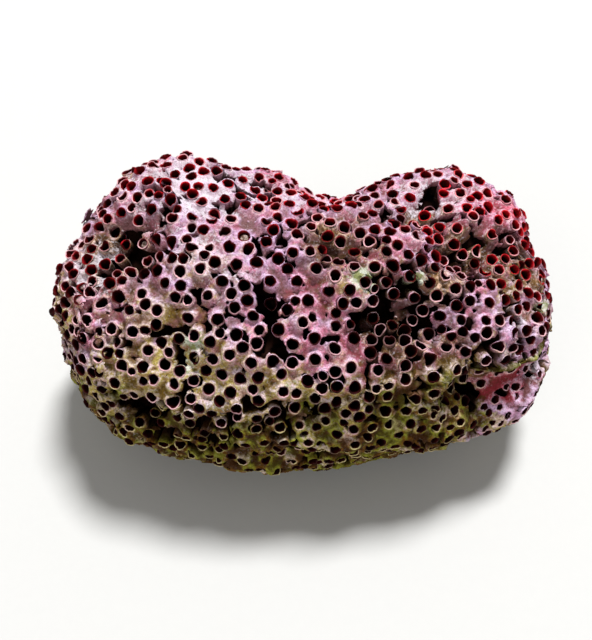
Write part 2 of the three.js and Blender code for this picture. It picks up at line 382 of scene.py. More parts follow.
# Flakes of broken pipes on the crust: azimuth, elevation, heading, length, arc, height, roll and
# pitch.
SHARDS = [
    (-80, 25, 20, 3.2, 110, 0.8, 10, 8), (-77, 22, -15, 2.6, 130, 0.7, -20, 15),
    (-72, 25, 35, 2.2, 100, 0.8, 25, 10), (-69, 22, 70, 2.0, 120, 0.6, -10, 20),
    (-66, 20, 15, 2.4, 90, 0.5, 30, 0), (-63, 18, 40, 1.8, 100, 0.5, 10, 12),
    (-74, 19, 50, 1.8, 110, 0.6, 0, 25), (-84, 27, 60, 2.0, 100, 0.7, 15, 20),
    (-42, 34, 60, 1.6, 120, 0.4, 20, 0), (75, 46, -40, 1.8, 110, 0.5, -25, 0),
    (86, 14, 10, 2.4, 90, 0.8, 15, 10), (90, 17, 50, 1.8, 120, 0.8, -15, 15),
    (-97, 41, 30, 1.8, 130, 0.5, 10, 10), (-100, 20, 80, 2.2, 110, 0.7, 10, 25),
    (-104, 12, 100, 2.0, 120, 0.7, -15, 25), (-101, 3, 60, 2.0, 120, 0.6, 10, 25),
    (-106, 27, 110, 2.2, 110, 0.8, 20, 20),
]
SHARD_RADIUS = 0.85
SHARD_THICKNESS = 0.18
SHARD_STEPS = (8, 6)
SHARD_JAG = 0.33

# Crumbs and sand grains caught between the pipes.
CRUMBS = 200
CRUMB_RADIUS = (0.08, 0.22)
CRUMB_ROOM = 0.3
CRUMB_BUMPS = [(0.3, 1.0, 61)]

# The cut: how far apart the pipes in it are, their radius and the heights of the cups in them, and
# the plate round them with its thickness and how much its inner face is drawn in.
CUT_TRIES = 9000
CUT_SPACING = 2.35
CUT_RADIUS = (0.72, 0.84)
CUT_MARGIN = 1.5
CUT_GRAIN = 0.8
CUT_CLEAR = 1.15
CUT_THICKNESS = 0.9
CUT_TAPER = 0.96
CUP_HEIGHTS = (2.6, 2.4)

# Swellings of the whole surface, and how far it is kept below the solid's.
SWELLINGS = [(1.0, 7.0, 13), (0.55, 3.2, 13)]
SWELL_ROOM = 0.2
SWELL_FADE = (1.5, 6.0)

# The lump's surface is read in the directions of a round mesh with this many steps.
SURFACE_STEPS = 7
SMOOTHING = 5
SEARCH_DEPTH = 3.2

# The outline of the cut is searched for between these elevations.
OUTLINE_POINTS = 300
OUTLINE_SEARCH = (-88.0, -8.0)
HALVINGS = 24

# A gap cuts the edges of the crust's triangles between these shares of their length.
CLIP_SHARE = (0.06, 0.94)

rng = np.random.default_rng(7)
CIRCLE_ANGLE = np.arange(SIDES) * 2 * np.pi / SIDES
CIRCLE = np.stack([np.cos(CIRCLE_ANGLE), np.sin(CIRCLE_ANGLE), np.zeros(SIDES)], axis=1)


# Small vector and noise helpers.
def unit(v):
    return v / np.linalg.norm(v, axis=-1, keepdims=True)


def dots(a, b):
    return np.einsum("ij,ij->i", a, b)


def direction(azimuth, elevation):
    a = np.radians(azimuth)
    e = np.radians(elevation)
    return np.stack([np.sin(a) * np.cos(e), -np.cos(a) * np.cos(e), np.sin(e)], axis=-1)


def angles_of(directions):
    azimuth = np.degrees(np.arctan2(directions[:, 0], -directions[:, 1]))
    elevation = np.degrees(np.arcsin(np.clip(directions[:, 2], -1, 1)))
    return azimuth, elevation


def cross_directions(axes):
    """Two unit vectors square to each axis and to each other."""
    steep = np.abs(axes[:, 2:3]) > 0.9
    helper = np.where(steep, [1.0, 0.0, 0.0], [0.0, 0.0, 1.0])
    u = unit(np.cross(helper, axes))
    return u, np.cross(axes, u)


def hashed(cells, seed):
    """A number from -1 to 1 for each whole-number cell, always the same one."""
    h = cells @ np.array([73856093, 19349663, 83492791]) + seed * 40503
    h = (h ^ (h >> 13)) * 1274126177
    h = h ^ (h >> 16)
    return (h & 0xFFFF) / 32767.5 - 1


def rough(points, wavelength, seed):
    """Smooth noise from -1 to 1, with humps about a wavelength apart."""
    scaled = points / wavelength
    cell = np.floor(scaled).astype(np.int64)
    t = scaled - cell
    t = t * t * (3 - 2 * t)
    total = np.zeros(len(points))
    for corner in np.ndindex(2, 2, 2):
        weight = np.prod(np.where(np.array(corner) == 1, t, 1 - t), axis=1)
        total += weight * hashed(cell + np.array(corner), seed)
    return total


def layered(points, layers):
    """Noise in layers, each with a height, a wavelength and a number of its own."""
    return sum(height * rough(points, wavelength, seed) for height, wavelength, seed in layers)


def smoothstep(low, high, x):
    t = np.clip((x - low) / (high - low), 0, 1)
    return t * t * (3 - 2 * t)


def bell(x, width):
    """1 at 0, fading out to both sides of it over this width."""
    return np.exp(-((x / width) ** 2))


# Meshes.
def face_normals(points, triangles):
    """Each triangle's normal, twice as long as its area is large."""
    a, b, c = (points[triangles[:, k]] for k in range(3))
    return np.cross(b - a, c - a)


def vertex_normals(points, triangles):
    face = face_normals(points, triangles)
    total = np.zeros_like(points)
    for k in range(3):
        np.add.at(total, triangles[:, k], face)
    return total / np.maximum(np.linalg.norm(total, axis=1, keepdims=True), 1e-12)


def turned_outward(triangles, points, outward):
    """The triangles, turned over where they don't face outward."""
    right = dots(face_normals(points, triangles), outward) > 0
    return np.where(right[:, None], triangles, triangles[:, ::-1])


def halved(quads):
    """Two triangles for each four-sided face."""
    return np.concatenate([quads[:, [0, 1, 2]], quads[:, [0, 2, 3]]])


def edges_of(triangles):
    edges = np.concatenate([triangles[:, [0, 1]], triangles[:, [1, 2]], triangles[:, [2, 0]]])
    return np.unique(np.sort(edges, axis=1), axis=0)


def neighbour_mean(values, edges):
    """The mean of each vertex's neighbours' values."""
    total = np.zeros_like(values)
    np.add.at(total, edges[:, 0], values[edges[:, 1]])
    np.add.at(total, edges[:, 1], values[edges[:, 0]])
    return total / np.bincount(edges.ravel(), minlength=len(values))


def round_mesh(subdivisions):
    """Evenly spread unit directions and the triangles between them."""
    bm = bmesh.new()
    bmesh.ops.create_icosphere(bm, subdivisions=subdivisions, radius=1)
    bm.verts.index_update()
    points = np.array([v.co[:] for v in bm.verts])
    triangles = np.array([[v.index for v in f.verts] for f in bm.faces])
    bm.free()
    return unit(points), triangles


def add_object(name, data):
    item = bpy.data.objects.new(name, data)
    bpy.context.scene.collection.objects.link(item)
    return item


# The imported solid.
def read_solid(node):
    """The solid's corners, each one once, and its triangles."""
    mesh = node.data
    points = np.empty(len(mesh.vertices) * 3, np.float32)
    mesh.vertices.foreach_get("co", points)
    points = points.reshape(-1, 3).astype(float) / MM
    mesh.calc_loop_triangles()
    triangles = np.empty(len(mesh.loop_triangles) * 3, np.int32)
    mesh.loop_triangles.foreach_get("vertices", triangles)
    _, first, place = np.unique(np.round(points, 3), axis=0, return_index=True, return_inverse=True)
    return points[first], place.reshape(-1)[triangles].reshape(-1, 3)


def find_mouths(points, triangles):
    """The floors of the solid's pipe mouths: a floor lies well below the mean of its neighbours."""
    count = np.bincount(triangles.ravel(), minlength=len(points))
    total = np.zeros_like(points)
    for k in range(3):
        np.add.at(total, triangles[:, k], points[triangles[:, (k + 1) % 3]])
    rim = total / count[:, None]
    depth = np.linalg.norm(rim - points, axis=1)
    deep = (depth > MOUTH_DEPTH[0]) & (depth < MOUTH_DEPTH[1])
    floors = np.nonzero(deep & (count <= MOUTH_SIDES) & (points[:, 2] > 0.5))[0]
    return floors, rim[floors]


def solid_radius(points, triangles):
    """How far the solid's surface is from the centre in each of the round mesh's directions."""
    shell = BVHTree.FromPolygons(points.tolist(), triangles.tolist())
    directions, faces = round_mesh(SURFACE_STEPS)
    origin = Vector(CENTRE)
    hits = [shell.ray_cast(origin, Vector(d))[3] for d in directions]
    radius = np.array([h if h is not None else np.nan for h in hits])
    radius = np.where(np.isnan(radius), np.nanmean(radius), radius)
    free = (CENTRE[2] + radius * directions[:, 2]) > 0.1
    edges = edges_of(faces)
    for _ in range(SMOOTHING):
        radius = np.where(free, (radius + neighbour_mean(radius, edges)) / 2, radius)
    return radius


def swelling(directions, radius):
    """How far the surface swells out in these directions, but not near the cut."""
    points = CENTRE + directions * radius[:, None]
    swell = np.minimum(layered(points, SWELLINGS), SWELL_ROOM) - SWELL_ROOM
    return swell * smoothstep(*SWELL_FADE, points[:, 2])


class Surface:
    """A surface round the centre, given by its distance from it in the round mesh's directions."""

    def __init__(self, radius):
        self.radius = radius
        self.directions, self.triangles = round_mesh(SURFACE_STEPS)
        self.points = CENTRE + self.directions * radius[:, None]
        self.points[:, 2] = np.maximum(self.points[:, 2], 0)
        self.normals = vertex_normals(self.points, self.triangles)
        self.tree = BVHTree.FromPolygons(self.points.tolist(), self.triangles.tolist())

    def at(self, directions):
        """Points and normals of the surface, in these directions from the centre."""
        return self.meet(np.broadcast_to(CENTRE, directions.shape), directions)[:2]

    def meet(self, origins, directions):
        """Where lines first meet the surface, its normals there and whether they meet it."""
        hits = [self.tree.ray_cast(Vector(o), Vector(d)) for o, d in zip(origins, directions)]
        met = np.array([h[0] is not None for h in hits])
        places = np.array([h[0][:] if h[0] is not None else CENTRE for h in hits])
        face = self.triangles[np.array([h[2] if h[2] is not None else 0 for h in hits])]
        a, b, c = (self.points[face[:, k]] for k in range(3))
        whole = np.cross(b - a, c - a)
        area = np.maximum(dots(whole, whole), 1e-12)
        share_b = dots(np.cross(places - a, c - a), whole) / area
        share_c = dots(np.cross(b - a, places - a), whole) / area
        shares = np.stack([1 - share_b - share_c, share_b, share_c], axis=1)
        return places, unit((self.normals[face] * shares[..., None]).sum(axis=1)), met

    def scatter(self, tries):
        """Random points spread evenly over the surface."""
        a, b, c = (self.points[self.triangles[:, k]] for k in range(3))
        area = np.linalg.norm(np.cross(b - a, c - a), axis=1)
        face = rng.choice(len(area), size=tries, p=area / area.sum())
        u, v = rng.random((2, tries, 1))
        flip = u + v > 1
        u, v = np.where(flip, 1 - u, u), np.where(flip, 1 - v, v)
        return a[face] + u * (b - a)[face] + v * (c - a)[face]


def crust_surface():
    """The crust's own surface, under the lump's outer one."""
    slope = np.clip(dots(skin.normals, skin.directions), 0.45, 1)
    radius = skin.radius - crust_level(skin.points, skin.directions) / slope
    radius = np.where(skin.points[:, 2] < 0.05, skin.radius, radius)
    return Surface(radius)


# Areas of the surface.
def apart_from(directions, azimuth, elevation):
    """How far directions are from a place on the lump, in millimetres across its surface."""
    place = skin.at(direction([azimuth], [elevation]))[0][0] - CENTRE
    reach = np.linalg.norm(place)
    return np.linalg.norm(directions - place / reach, axis=1) * reach


def nearness(directions, azimuth, elevation, size):
    """1 at a place on the lump, fading out over its size."""
    return bell(apart_from(directions, azimuth, elevation), size)


def added_up(directions, places):
    """The heights of places on the lump, each fading out over its size, added up."""
    return sum(height * nearness(directions, *place) for *place, height in places)


def height_along(line, directions):
    """How many degrees each direction lies above a line round the lump."""
    azimuth, elevation = angles_of(directions)
    return elevation - np.interp(azimuth, *np.transpose(line))


def over_ledge(directions):
    """How far a direction lies above the ledge's ragged line, in millimetres on the surface."""
    return (height_along(LEDGE, directions) - layered(directions, LEDGE_WANDER)) * MM_PER_DEGREE


def ledge_fade(directions):
    """1 across the front, where the ledge is, and 0 round the back."""
    azimuth, _ = angles_of(directions)
    start, stop = LEDGE_SPAN
    ends = smoothstep(stop - LEDGE_FADE, stop, azimuth)
    return smoothstep(start, start + LEDGE_FADE, azimuth) * (1 - ends)


def lower_share(directions):
    """1 in the last layer of pipes, low down, and 0 above it."""
    return 1 - smoothstep(*LOWER_EDGE, over_ledge(directions))


def ridge_share(directions, azimuths, elevations, half_width):
    """1 along a line across the lump, fading out to its sides."""
    step = np.linspace(0, len(azimuths) - 1, RIDGE_STEPS * len(azimuths))
    order = np.arange(len(azimuths))
    apart = np.full(len(directions), np.inf)
    for place in zip(np.interp(step, order, azimuths), np.interp(step, order, elevations)):
        apart = np.minimum(apart, apart_from(directions, *place))
    return bell(apart, half_width)


def crust_level(points, directions):
    """How far the crust lies under the solid's surface, before its collars and grain."""
    over = over_ledge(directions)
    lift = LEDGE_LIFT * np.tanh(over / LEDGE_EDGE) * np.exp(-np.abs(over) / LEDGE_REACH)
    low = lower_share(directions)
    level = CRUST_RECESS + (LOWER_RECESS - CRUST_RECESS) * low
    level += layered(points, RELIEF) * (1 - LOWER_CALM * low)
    level = np.maximum(level, LEAST_RECESS * (1 - low)) - lift * ledge_fade(directions)
    level += added_up(directions, SUNKEN) - added_up(directions, LUMPS)
    for *line, height, half_width in RIDGES:
        level -= height * ridge_share(directions, *line, half_width)
    bumps = PLATE_SWELL + layered(points, PLATE_RELIEF)
    return level - bumps * nearness(directions, *PLATE)


def gap_value(points, directions, away):
    """Above 0 where the crust is broken away: in the named places, under the ledge, beside some
    pipes, and more rarely anywhere, the more so the farther away the nearest pipe is."""
    least, most, steep = OPEN_ROOM
    value = layered(points, GAP_NOISE) / NOISE_SPREAD + steep * (np.clip(away, 0, most) - least)
    value -= CRUST_HOLD + LOWER_HOLD * lower_share(directions)
    torn = smoothstep(*TORN_EDGE, layered(points, TORN_NOISE))
    value += TORN_SHARE * torn * bell(away, TORN_REACH)
    below, reach, strength = UNDER_LEDGE
    under = bell(over_ledge(directions) + below, reach)
    return value + strength * under * ledge_fade(directions) + added_up(directions, GAPS)


def stain_masks(points):
    """How much each kind of stain covers each point. The olive and khaki low down are partly painted
    green reflection, and the lit mask is painted light inside the pipes.
    """
    directions = unit(points - CENTRE)
    # The olive low down: partly growth, partly painted green light reflected from below.
    under = layered(points, OLIVE_WANDER) - height_along(OLIVE, directions)
    bare = smoothstep(*HOLE_EDGE, layered(points, OLIVE_HOLES))
    masks = {"olive": smoothstep(0, OLIVE_EDGE, under) - HOLE_SHARE * bare}
    for name, places in STAINS.items():
        masks[name] = np.max([share * nearness(directions, *place) for *place, share in places], axis=0)
    # Khaki in a band over the olive line: partly stain, partly painted green reflection.
    masks["khaki"] = np.maximum(masks["khaki"], smoothstep(-KHAKI_EDGE, KHAKI_EDGE, under))
    for place in CLEAN:
        masks["olive"] *= 1 - np.minimum(CLEANED * nearness(directions, *place), 1)
    for name in ("khaki", "brown"):
        masks[name] *= 1 - np.minimum(CLEANED * nearness(directions, *PLATE), 1)
    for *line, _, half_width in RIDGES[:GREEN_RIDGES]:
        along = ridge_share(directions, *line, 1.1 * half_width)
        masks["olive"] = np.maximum(masks["olive"], RIDGE_GREEN * along)
    return masks


def slope_towards(normals, way):
    """The direction along the surface that leads this way, shortened where it hardly does."""
    along = way - normals * (normals @ way)[:, None]
    return along / np.maximum(np.linalg.norm(along, axis=1, keepdims=True), 0.3)


def lie_masks(points, normals):
    """How deep the crust lies around each point, and how far the point faces away from the side that
    the painted highlight and shade are lit from."""
    directions = unit(points - CENTRE)
    surface, outward = skin.at(directions)
    sunk = layered(surface, RELIEF) + added_up(directions, SUNKEN)
    slope = slope_towards(outward, direction(*PAINTED_LIGHT_SIDE))
    return {"sunk": sunk, "under": -dots(normals, slope)}


def write_mesh(name, points, faces, materials, face_material=None, lift=0.0, wear=0.0, normals=None):
    """A smooth-shaded mesh object from points in millimetres and arrays of faces. Lift is how far
    up towards a pipe's rim each point is, and wear is 1 on the rims."""
    mesh = bpy.data.meshes.new(name)
    rows = [face for group in faces for face in group.tolist()]
    mesh.from_pydata((points * MM).tolist(), [], rows, shade_flat=False)
    for material in materials:
        mesh.materials.append(material)
    if face_material is not None:
        mesh.polygons.foreach_set("material_index", face_material.astype(np.int32))
    mesh.validate()
    facing = np.empty(3 * len(points), np.float32)
    mesh.vertices.foreach_get("normal", facing)
    masks = {**stain_masks(points), **lie_masks(points, facing.reshape(-1, 3))}
    masks.update({"lift": lift, "wear": wear})
    for mask, values in masks.items():
        attribute = mesh.attributes.new(mask, "FLOAT", "POINT")
        attribute.data.foreach_set("value", np.broadcast_to(values, len(points)).astype(np.float32))
    if normals is not None:
        mesh.normals_split_custom_set_from_vertices(normals.tolist())
    piece = add_object(name, mesh)
    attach(piece, "root")
    return piece


# Pipes.
class Pipes:
    """All pipes as arrays: foot on the crust, axis, radius, rise of the rim and how it is broken."""

    def __init__(self, mouth, axis, radius):
        n = len(mouth)
        self.axis = axis
        self.radius = radius
        self.foot, _, met = crust.meet(mouth - axis * SEARCH_DEPTH, axis)
        self.foot = np.where(met[:, None], self.foot, mouth - axis * CRUST_RECESS)
        self.rise = np.clip(dots(mouth - self.foot, axis), *RISE)
        directions = unit(mouth - CENTRE)
        for *place, strength in GAPS:
            lost = (strength > LOSS_STRENGTH) & (nearness(directions, *place) > LOSS_SHARE)
            self.rise = np.where(lost, -rng.uniform(*LOSS_DEPTH, n), self.rise)
        down = np.maximum(axis[:, 2], 0.05)
        self.length = np.clip((self.foot[:, 2] - 0.5) / down, 1.4, PIPE_LENGTH) + self.rise
        self.u, self.v = cross_directions(axis)
        self.turn = rng.random(n) * 2 * np.pi
        self.waves = [
            (count, rng.normal(0, spread, n), rng.random(n) * turns * np.pi)
            for count, spread, turns in OUT_OF_ROUND
        ]
        self.tilt = rng.normal(0, RIM_TILT, n)
        self.tilt_turn = rng.random(n) * 2 * np.pi
        ragged = np.max([nearness(directions, *place) for place in RAGGED], axis=0)
        chipped = rng.random(n) * (1 - 0.75 * ragged)
        self.chip = np.where(chipped < CHIPPED, rng.uniform(*CHIP_DEPTH, n), 0)
        self.chip = np.where(chipped < BROKEN, rng.uniform(*BREAK_DEPTH, n), self.chip)
        self.chip_turn = rng.random(n) * 2 * np.pi
        wide = rng.uniform(0.6, 1.2, n)
        self.chip_width = np.where(self.chip > BREAK_DEPTH[0], wide, wide / 2.2)
        self.collar = rng.uniform(0.8, 1.0, n)
        self.pale = rng.uniform(0.1, 0.95, n)
        self.filled = rng.random(n) < FILLED
        self.floor = np.where(self.filled, rng.uniform(*FILL_DEPTH, n), self.length - FLOOR_THICKNESS)

    def __len__(self):
        return len(self.foot)

    def rim_loss(self, index, angle):
        """How far the rim is broken down, at an angle round it."""
        apart = np.angle(np.exp(1j * (angle - self.chip_turn[index])))
        bite = self.chip[index] * np.exp(-((apart / self.chip_width[index]) ** 4))
        ragged = np.sin(5 * angle + self.turn[index]) * np.sin(3 * angle + self.chip_turn[index])
        lean = self.tilt[index] * np.cos(angle - self.tilt_turn[index])
        return bite + 0.05 * ragged + lean

    def reach(self, index, angle):
        """The wall's outer radius at an angle: no pipe is quite round."""
        uneven = sum(size[index] * np.cos(k * (angle - turn[index])) for k, size, turn in self.waves)
        return self.radius[index] * (1 + uneven)

    def across(self, index, angle):
        """The direction from the axis outwards at an angle round it."""
        u = self.u[index][:, None, :] * np.cos(angle)[..., None]
        return u + self.v[index][:, None, :] * np.sin(angle)[..., None]


def ring_angles(index):
    """Angles round each of these pipes, and the pipe's number at each of them."""
    return np.tile(CIRCLE_ANGLE, (len(index), 1)), np.repeat(index, SIDES).reshape(-1, SIDES)


def lean_up(axis, normal, degrees):
    """Leans axes up from the surface by these angles, and back from beyond the greatest lean."""
    lying = dots(axis, normal) < np.cos(np.radians(MOST_LEAN))
    axis = np.where(lying[:, None], unit(normal + 0.25 * axis), axis)
    up = slope_towards(normal, np.array([0.0, 0.0, 1.0]))
    return unit(axis + up * np.tan(np.radians(degrees))[:, None])


def moved_apart(mouth, axis, radius):
    """Moves pipes apart where they would run into each other, at the mouth or lower down."""
    least = radius[:, None] + radius[None, :] + LEAST_GAP + np.eye(len(mouth)) * -100
    foot = mouth - axis * FOOT_DEPTH
    for _ in range(PUSHES):
        for level in (mouth, foot):
            offset = level[:, None, :] - level[None, :, :]
            apart = np.linalg.norm(offset, axis=2) + np.eye(len(mouth))
            push = np.maximum(least - apart, 0) / apart
            level += (offset * (0.5 * push)[..., None]).sum(axis=1)
    return mouth, unit(mouth - foot)


def pipe_radius(directions):
    """A radius for a pipe in each direction: thinner low down."""
    share = rng.random(len(directions))
    low = lower_share(directions)
    ends = [(1 - low) * a + low * b for a, b in zip(UPPER_RADIUS, LOWER_RADIUS)]
    return ends[0] + (ends[1] - ends[0]) * share


def young_mouths(known, known_radius):
    """Mouths of younger pipes, in the gaps that the others leave between them."""
    tries = skin.scatter(YOUNG_TRIES)
    tries = tries[(tries[:, 2] > LOWEST_PIPE) & has_pipes(tries)]
    directions = unit(tries - CENTRE)
    least = LEAST_RADIUS + UPPER_EXTRA * (1 - lower_share(directions))
    full = pipe_radius(directions)
    luck = rng.random(len(tries))
    young = []
    for place, smallest, largest, chance in zip(tries, least, full, luck):
        room = (np.linalg.norm(known - place, axis=1) - known_radius).min() - LEAST_GAP
        if room < smallest or (room < largest * SQUEEZED and chance < SQUEEZED_LOSS):
            continue
        known = np.vstack([known, place])
        known_radius = np.append(known_radius, min(room, largest))
        young.append(place)
        if len(young) >= MOST_YOUNG_PIPES:
            break
    return np.array(young), known_radius[-len(young) :]


def has_pipes(points):
    """False in the bare areas and on the ridges."""
    directions = unit(points - CENTRE)
    kept = np.ones(len(points), bool)
    for *place, reach in BARE:
        kept &= apart_from(directions, *place) > reach
    for *line, _, _ in RIDGES[:GREEN_RIDGES]:
        kept &= ridge_share(directions, *line, RIDGE_ROOM) < 0.3
    return kept


def plant_pipes(mouths, axes):
    """The solid's own pipes, and younger ones between them."""
    kept = has_pipes(mouths)
    mouths, axes = mouths[kept], axes[kept]
    radius = pipe_radius(unit(mouths - CENTRE))
    radius = radius * (1 - PLATE_THINNER * nearness(unit(mouths - CENTRE), *PLATE))
    young, young_radius = young_mouths(mouths, radius)
    _, young_normal = skin.at(unit(young - CENTRE))
    u, v = cross_directions(young_normal)
    lean = rng.normal(0, YOUNG_LEAN, (2, len(young), 1))
    young_axis = unit(young_normal + u * lean[0] + v * lean[1])
    young = young + young_normal * rng.uniform(*YOUNG_SHIFT, (len(young), 1))
    mouth = np.vstack([mouths, young])
    axis = np.vstack([axes, young_axis])
    radius = np.concatenate([radius, young_radius])
    directions = unit(mouth - CENTRE)
    low = lower_share(directions)
    _, normal = skin.at(directions)
    axis = unit(axis + GROWTH_LEAN * (1 - low)[:, None] * direction(*GROWTH))
    axis = lean_up(axis, normal, LOWER_LEAN * low)
    mouth, axis = moved_apart(mouth, axis, radius)
    proud = rng.normal(0, PROUD, len(mouth)) + PLATE_RISE * nearness(directions, *PLATE)
    mouth = mouth + axis * proud[:, None]
    return Pipes(mouth, axis, radius)


def pipe_rows(pipes, index):
    """Each pipe's rings from its buried outer end, over the rim, to its inner floor."""
    angle, which = ring_angles(index)
    loss = pipes.rim_loss(which, angle)
    reach = pipes.reach(which, angle)
    across = pipes.across(index, angle)
    rim = pipes.foot[index] + pipes.axis[index] * pipes.rise[index][:, None]
    floor = pipes.floor[index][:, None]
    length = pipes.length[index][:, None]
    notch = RIM_NOTCH * rng.random(angle.shape) ** 3
    tooth = RIM_TOOTH * rng.random(angle.shape) ** 2
    rows = []
    for depth, share, side, _, _ in PROFILE:
        width = reach * share
        if side == "end":
            down = np.broadcast_to(length, angle.shape)
        elif side == "floor":
            down = np.broadcast_to(floor, angle.shape)
        elif depth <= RIM_DEPTH:
            down = depth + loss + notch
            width = width - (tooth if side == "inner" else 0)
        else:
            down = np.maximum(depth, loss + 0.14 + 0.1 * depth)
            down = np.minimum(down, floor - 0.04 if side == "inner" else length - 0.1)
        ring = rim[:, None, :] - pipes.axis[index][:, None, :] * down[..., None]
        rows.append(ring + across * width[..., None])
    rows = np.stack(rows, axis=1)
    rows[..., 2] = np.maximum(rows[..., 2], LOWEST_POINT)
    return rows


def ring_faces(row_pairs, ends):
    """Faces between pairs of rings, and fans from a ring to an end point."""
    step = np.arange(SIDES)
    after = (step + 1) % SIDES
    starts = np.array(row_pairs) * SIDES
    quads = [np.stack([a + step, a + after, b + after, b + step], axis=1) for a, b in starts]
    fans = []
    for row, point, turned in ends:
        fan = np.stack([row * SIDES + step, row * SIDES + after, np.full(SIDES, point)], axis=1)
        fans.append(fan[:, ::-1] if turned else fan)
    return np.concatenate(quads), np.concatenate(fans)


def repeated(faces, count, points_each):
    """The faces of one of many like shapes, for all of them."""
    shift = (np.arange(count) * points_each)[:, None, None]
    return (faces[None] + shift).reshape(-1, faces.shape[1])


def cups(rows, ends, pairs, turned):
    """Points and faces of many like cups: rings of points, two end points and the faces between."""
    count = len(rows)
    points = np.concatenate([rows.reshape(count, -1, 3), *(end[:, None] for end in ends)], axis=1)
    each = points.shape[1]
    fans = [(row, each - 2 + k, turn) for k, (row, turn) in enumerate(turned)]
    faces = [repeated(part, count, each) for part in ring_faces(pairs, fans)]
    return points.reshape(-1, 3), faces


def pipe_mesh(name, pipes, index, materials):
    """The pipes of one group, each a closed thin-walled cup."""
    rows = pipe_rows(pipes, index)
    count, depth = rows.shape[:2]
    ends = rows[:, 0].mean(axis=1), rows[:, -1].mean(axis=1)
    pairs = [(row, row + 1) for row in range(depth - 1)]
    points, faces = cups(rows, ends, pairs, [(0, True), (depth - 1, False)])
    lift = np.repeat([row[3] for row in PROFILE], SIDES)
    wear = np.repeat([row[4] for row in PROFILE], SIDES)
    lift = np.tile(np.append(lift, [0, 0]), count)
    # Rims are paler on their lower side: partly wear, partly painted highlight where light catches
    # them.
    lower_side = -pipes.across(index, ring_angles(index)[0])[..., 2]
    pale = pipes.pale[index][:, None] * np.clip(0.75 + 0.6 * lower_side, 0.2, 1.2)
    wear = np.tile(pale, (1, depth)) * wear
    wear = np.concatenate([wear, np.zeros((count, 2))], axis=1).ravel()
    inside = [PROFILE[row + 1][2] in ("inner", "floor") for row in range(depth - 1)]
    quad_material = np.tile(np.repeat(np.array(inside, int), SIDES), count)
    fan_material = np.tile(np.repeat([0, 1], SIDES), (count, 1))
    fan_material[pipes.filled[index], SIDES:] = 2
    material = np.concatenate([quad_material, fan_material.ravel()])
    return write_mesh(name, points, faces, materials, material, lift, wear)


# Crust.
def spread_out(points, spacing):
    """Keeps each point that is no closer than the spacing to one kept before it."""
    cells = {}
    kept = []
    keys = np.floor(points / spacing).astype(int).tolist()
    offsets = [(i, j, k) for i in (-1, 0, 1) for j in (-1, 0, 1) for k in (-1, 0, 1)]
    least = spacing * spacing
    for number, (key, p) in enumerate(zip(keys, points.tolist())):
        x, y, z = key
        close = (
            (p[0] - q[0]) ** 2 + (p[1] - q[1]) ** 2 + (p[2] - q[2]) ** 2 < least
            for i, j, k in offsets
            for q in cells.get((x + i, y + j, z + k), ())
        )
        if any(close):
            continue
        cells.setdefault((x, y, z), []).append(p)
        kept.append(number)
    return np.array(kept)


def nearest_pipes(pipes, points, count):
    """The nearest pipes to each point, the point's distance from each axis and its place along
    and round it."""
    tree = KDTree(len(pipes))
    for number, foot in enumerate(pipes.foot):
        tree.insert(foot, number)
    tree.balance()
    index = np.array([[hit[1] for hit in tree.find_n(p, count)] for p in points])
    offset = points[:, None, :] - pipes.foot[index]
    along = np.einsum("ijk,ijk->ij", offset, pipes.axis[index])
    across = offset - pipes.axis[index] * along[..., None]
    x, y = (np.einsum("ijk,ijk->ij", across, way[index]) for way in (pipes.u, pipes.v))
    return index, np.linalg.norm(across, axis=2), along, np.arctan2(y, x)


def ring_on_crust(pipes, extra):
    """Points where the crust meets each pipe's wall, or a collar this much wider."""
    index = np.arange(len(pipes))
    angle, which = ring_angles(index)
    across = pipes.across(index, angle) * (pipes.reach(which, angle) + extra)[..., None]
    lines = np.repeat(pipes.axis, SIDES, axis=0)
    level = (pipes.foot[:, None, :] + across).reshape(-1, 3)
    places, _, met = crust.meet(level - lines * SEARCH_DEPTH, lines)
    flat = np.abs(dots(places - level, lines)) < MOST_STEP
    return np.where((met & flat)[:, None], places, level)


def flatten(points):
    """Directions from the centre, laid out flat round the upward one with true angles."""
    d = unit(points - CENTRE)
    return d[:, :2] / (1 + d[:, 2:3])


def base_outline():
    """The lump's outline where it is cut off, at height 0."""
    azimuth = np.arange(OUTLINE_POINTS) * 360 / OUTLINE_POINTS
    low, high = (np.full(OUTLINE_POINTS, e) for e in OUTLINE_SEARCH)
    for _ in range(HALVINGS):
        middle = (low + high) / 2
        places, _ = skin.at(direction(azimuth, middle))
        under = places[:, 2] < 0.02
        low, high = np.where(under, middle, low), np.where(under, high, middle)
    places, _ = skin.at(direction(azimuth, high))
    places[:, 2] = 0
    return places


def triangulate(flat, loops):
    """Triangles between flat points that keep to the loops' edges."""
    edges = [(int(a), int(b)) for loop in loops for a, b in zip(loop, np.roll(loop, -1))]
    found = delaunay_2d_cdt([Vector(p) for p in flat], edges, [], 0, 1e-7)
    origin = np.array([o[0] if o else -1 for o in found[3]])
    triangles = origin[np.array(found[2])]
    return triangles[(triangles >= 0).all(axis=1)]


def between_rings(flat, rings, edge_count, open_edge):
    """Triangles between flat points: rings first, the edge last. Those inside a ring are left out,
    and with an open edge also those between its own points."""
    count = len(flat)
    number = np.arange(count)
    edge = number[count - edge_count :]
    loops = [number[k * SIDES : (k + 1) * SIDES] for k in range(rings)]
    triangles = triangulate(flat, [*loops, edge])
    owner = np.where(number < rings * SIDES, number // SIDES, -2 - number)
    if open_edge:
        owner[edge] = -1
    corners = owner[triangles]
    inside = (corners[:, 0] == corners[:, 1]) & (corners[:, 1] == corners[:, 2])
    return triangles[~inside]


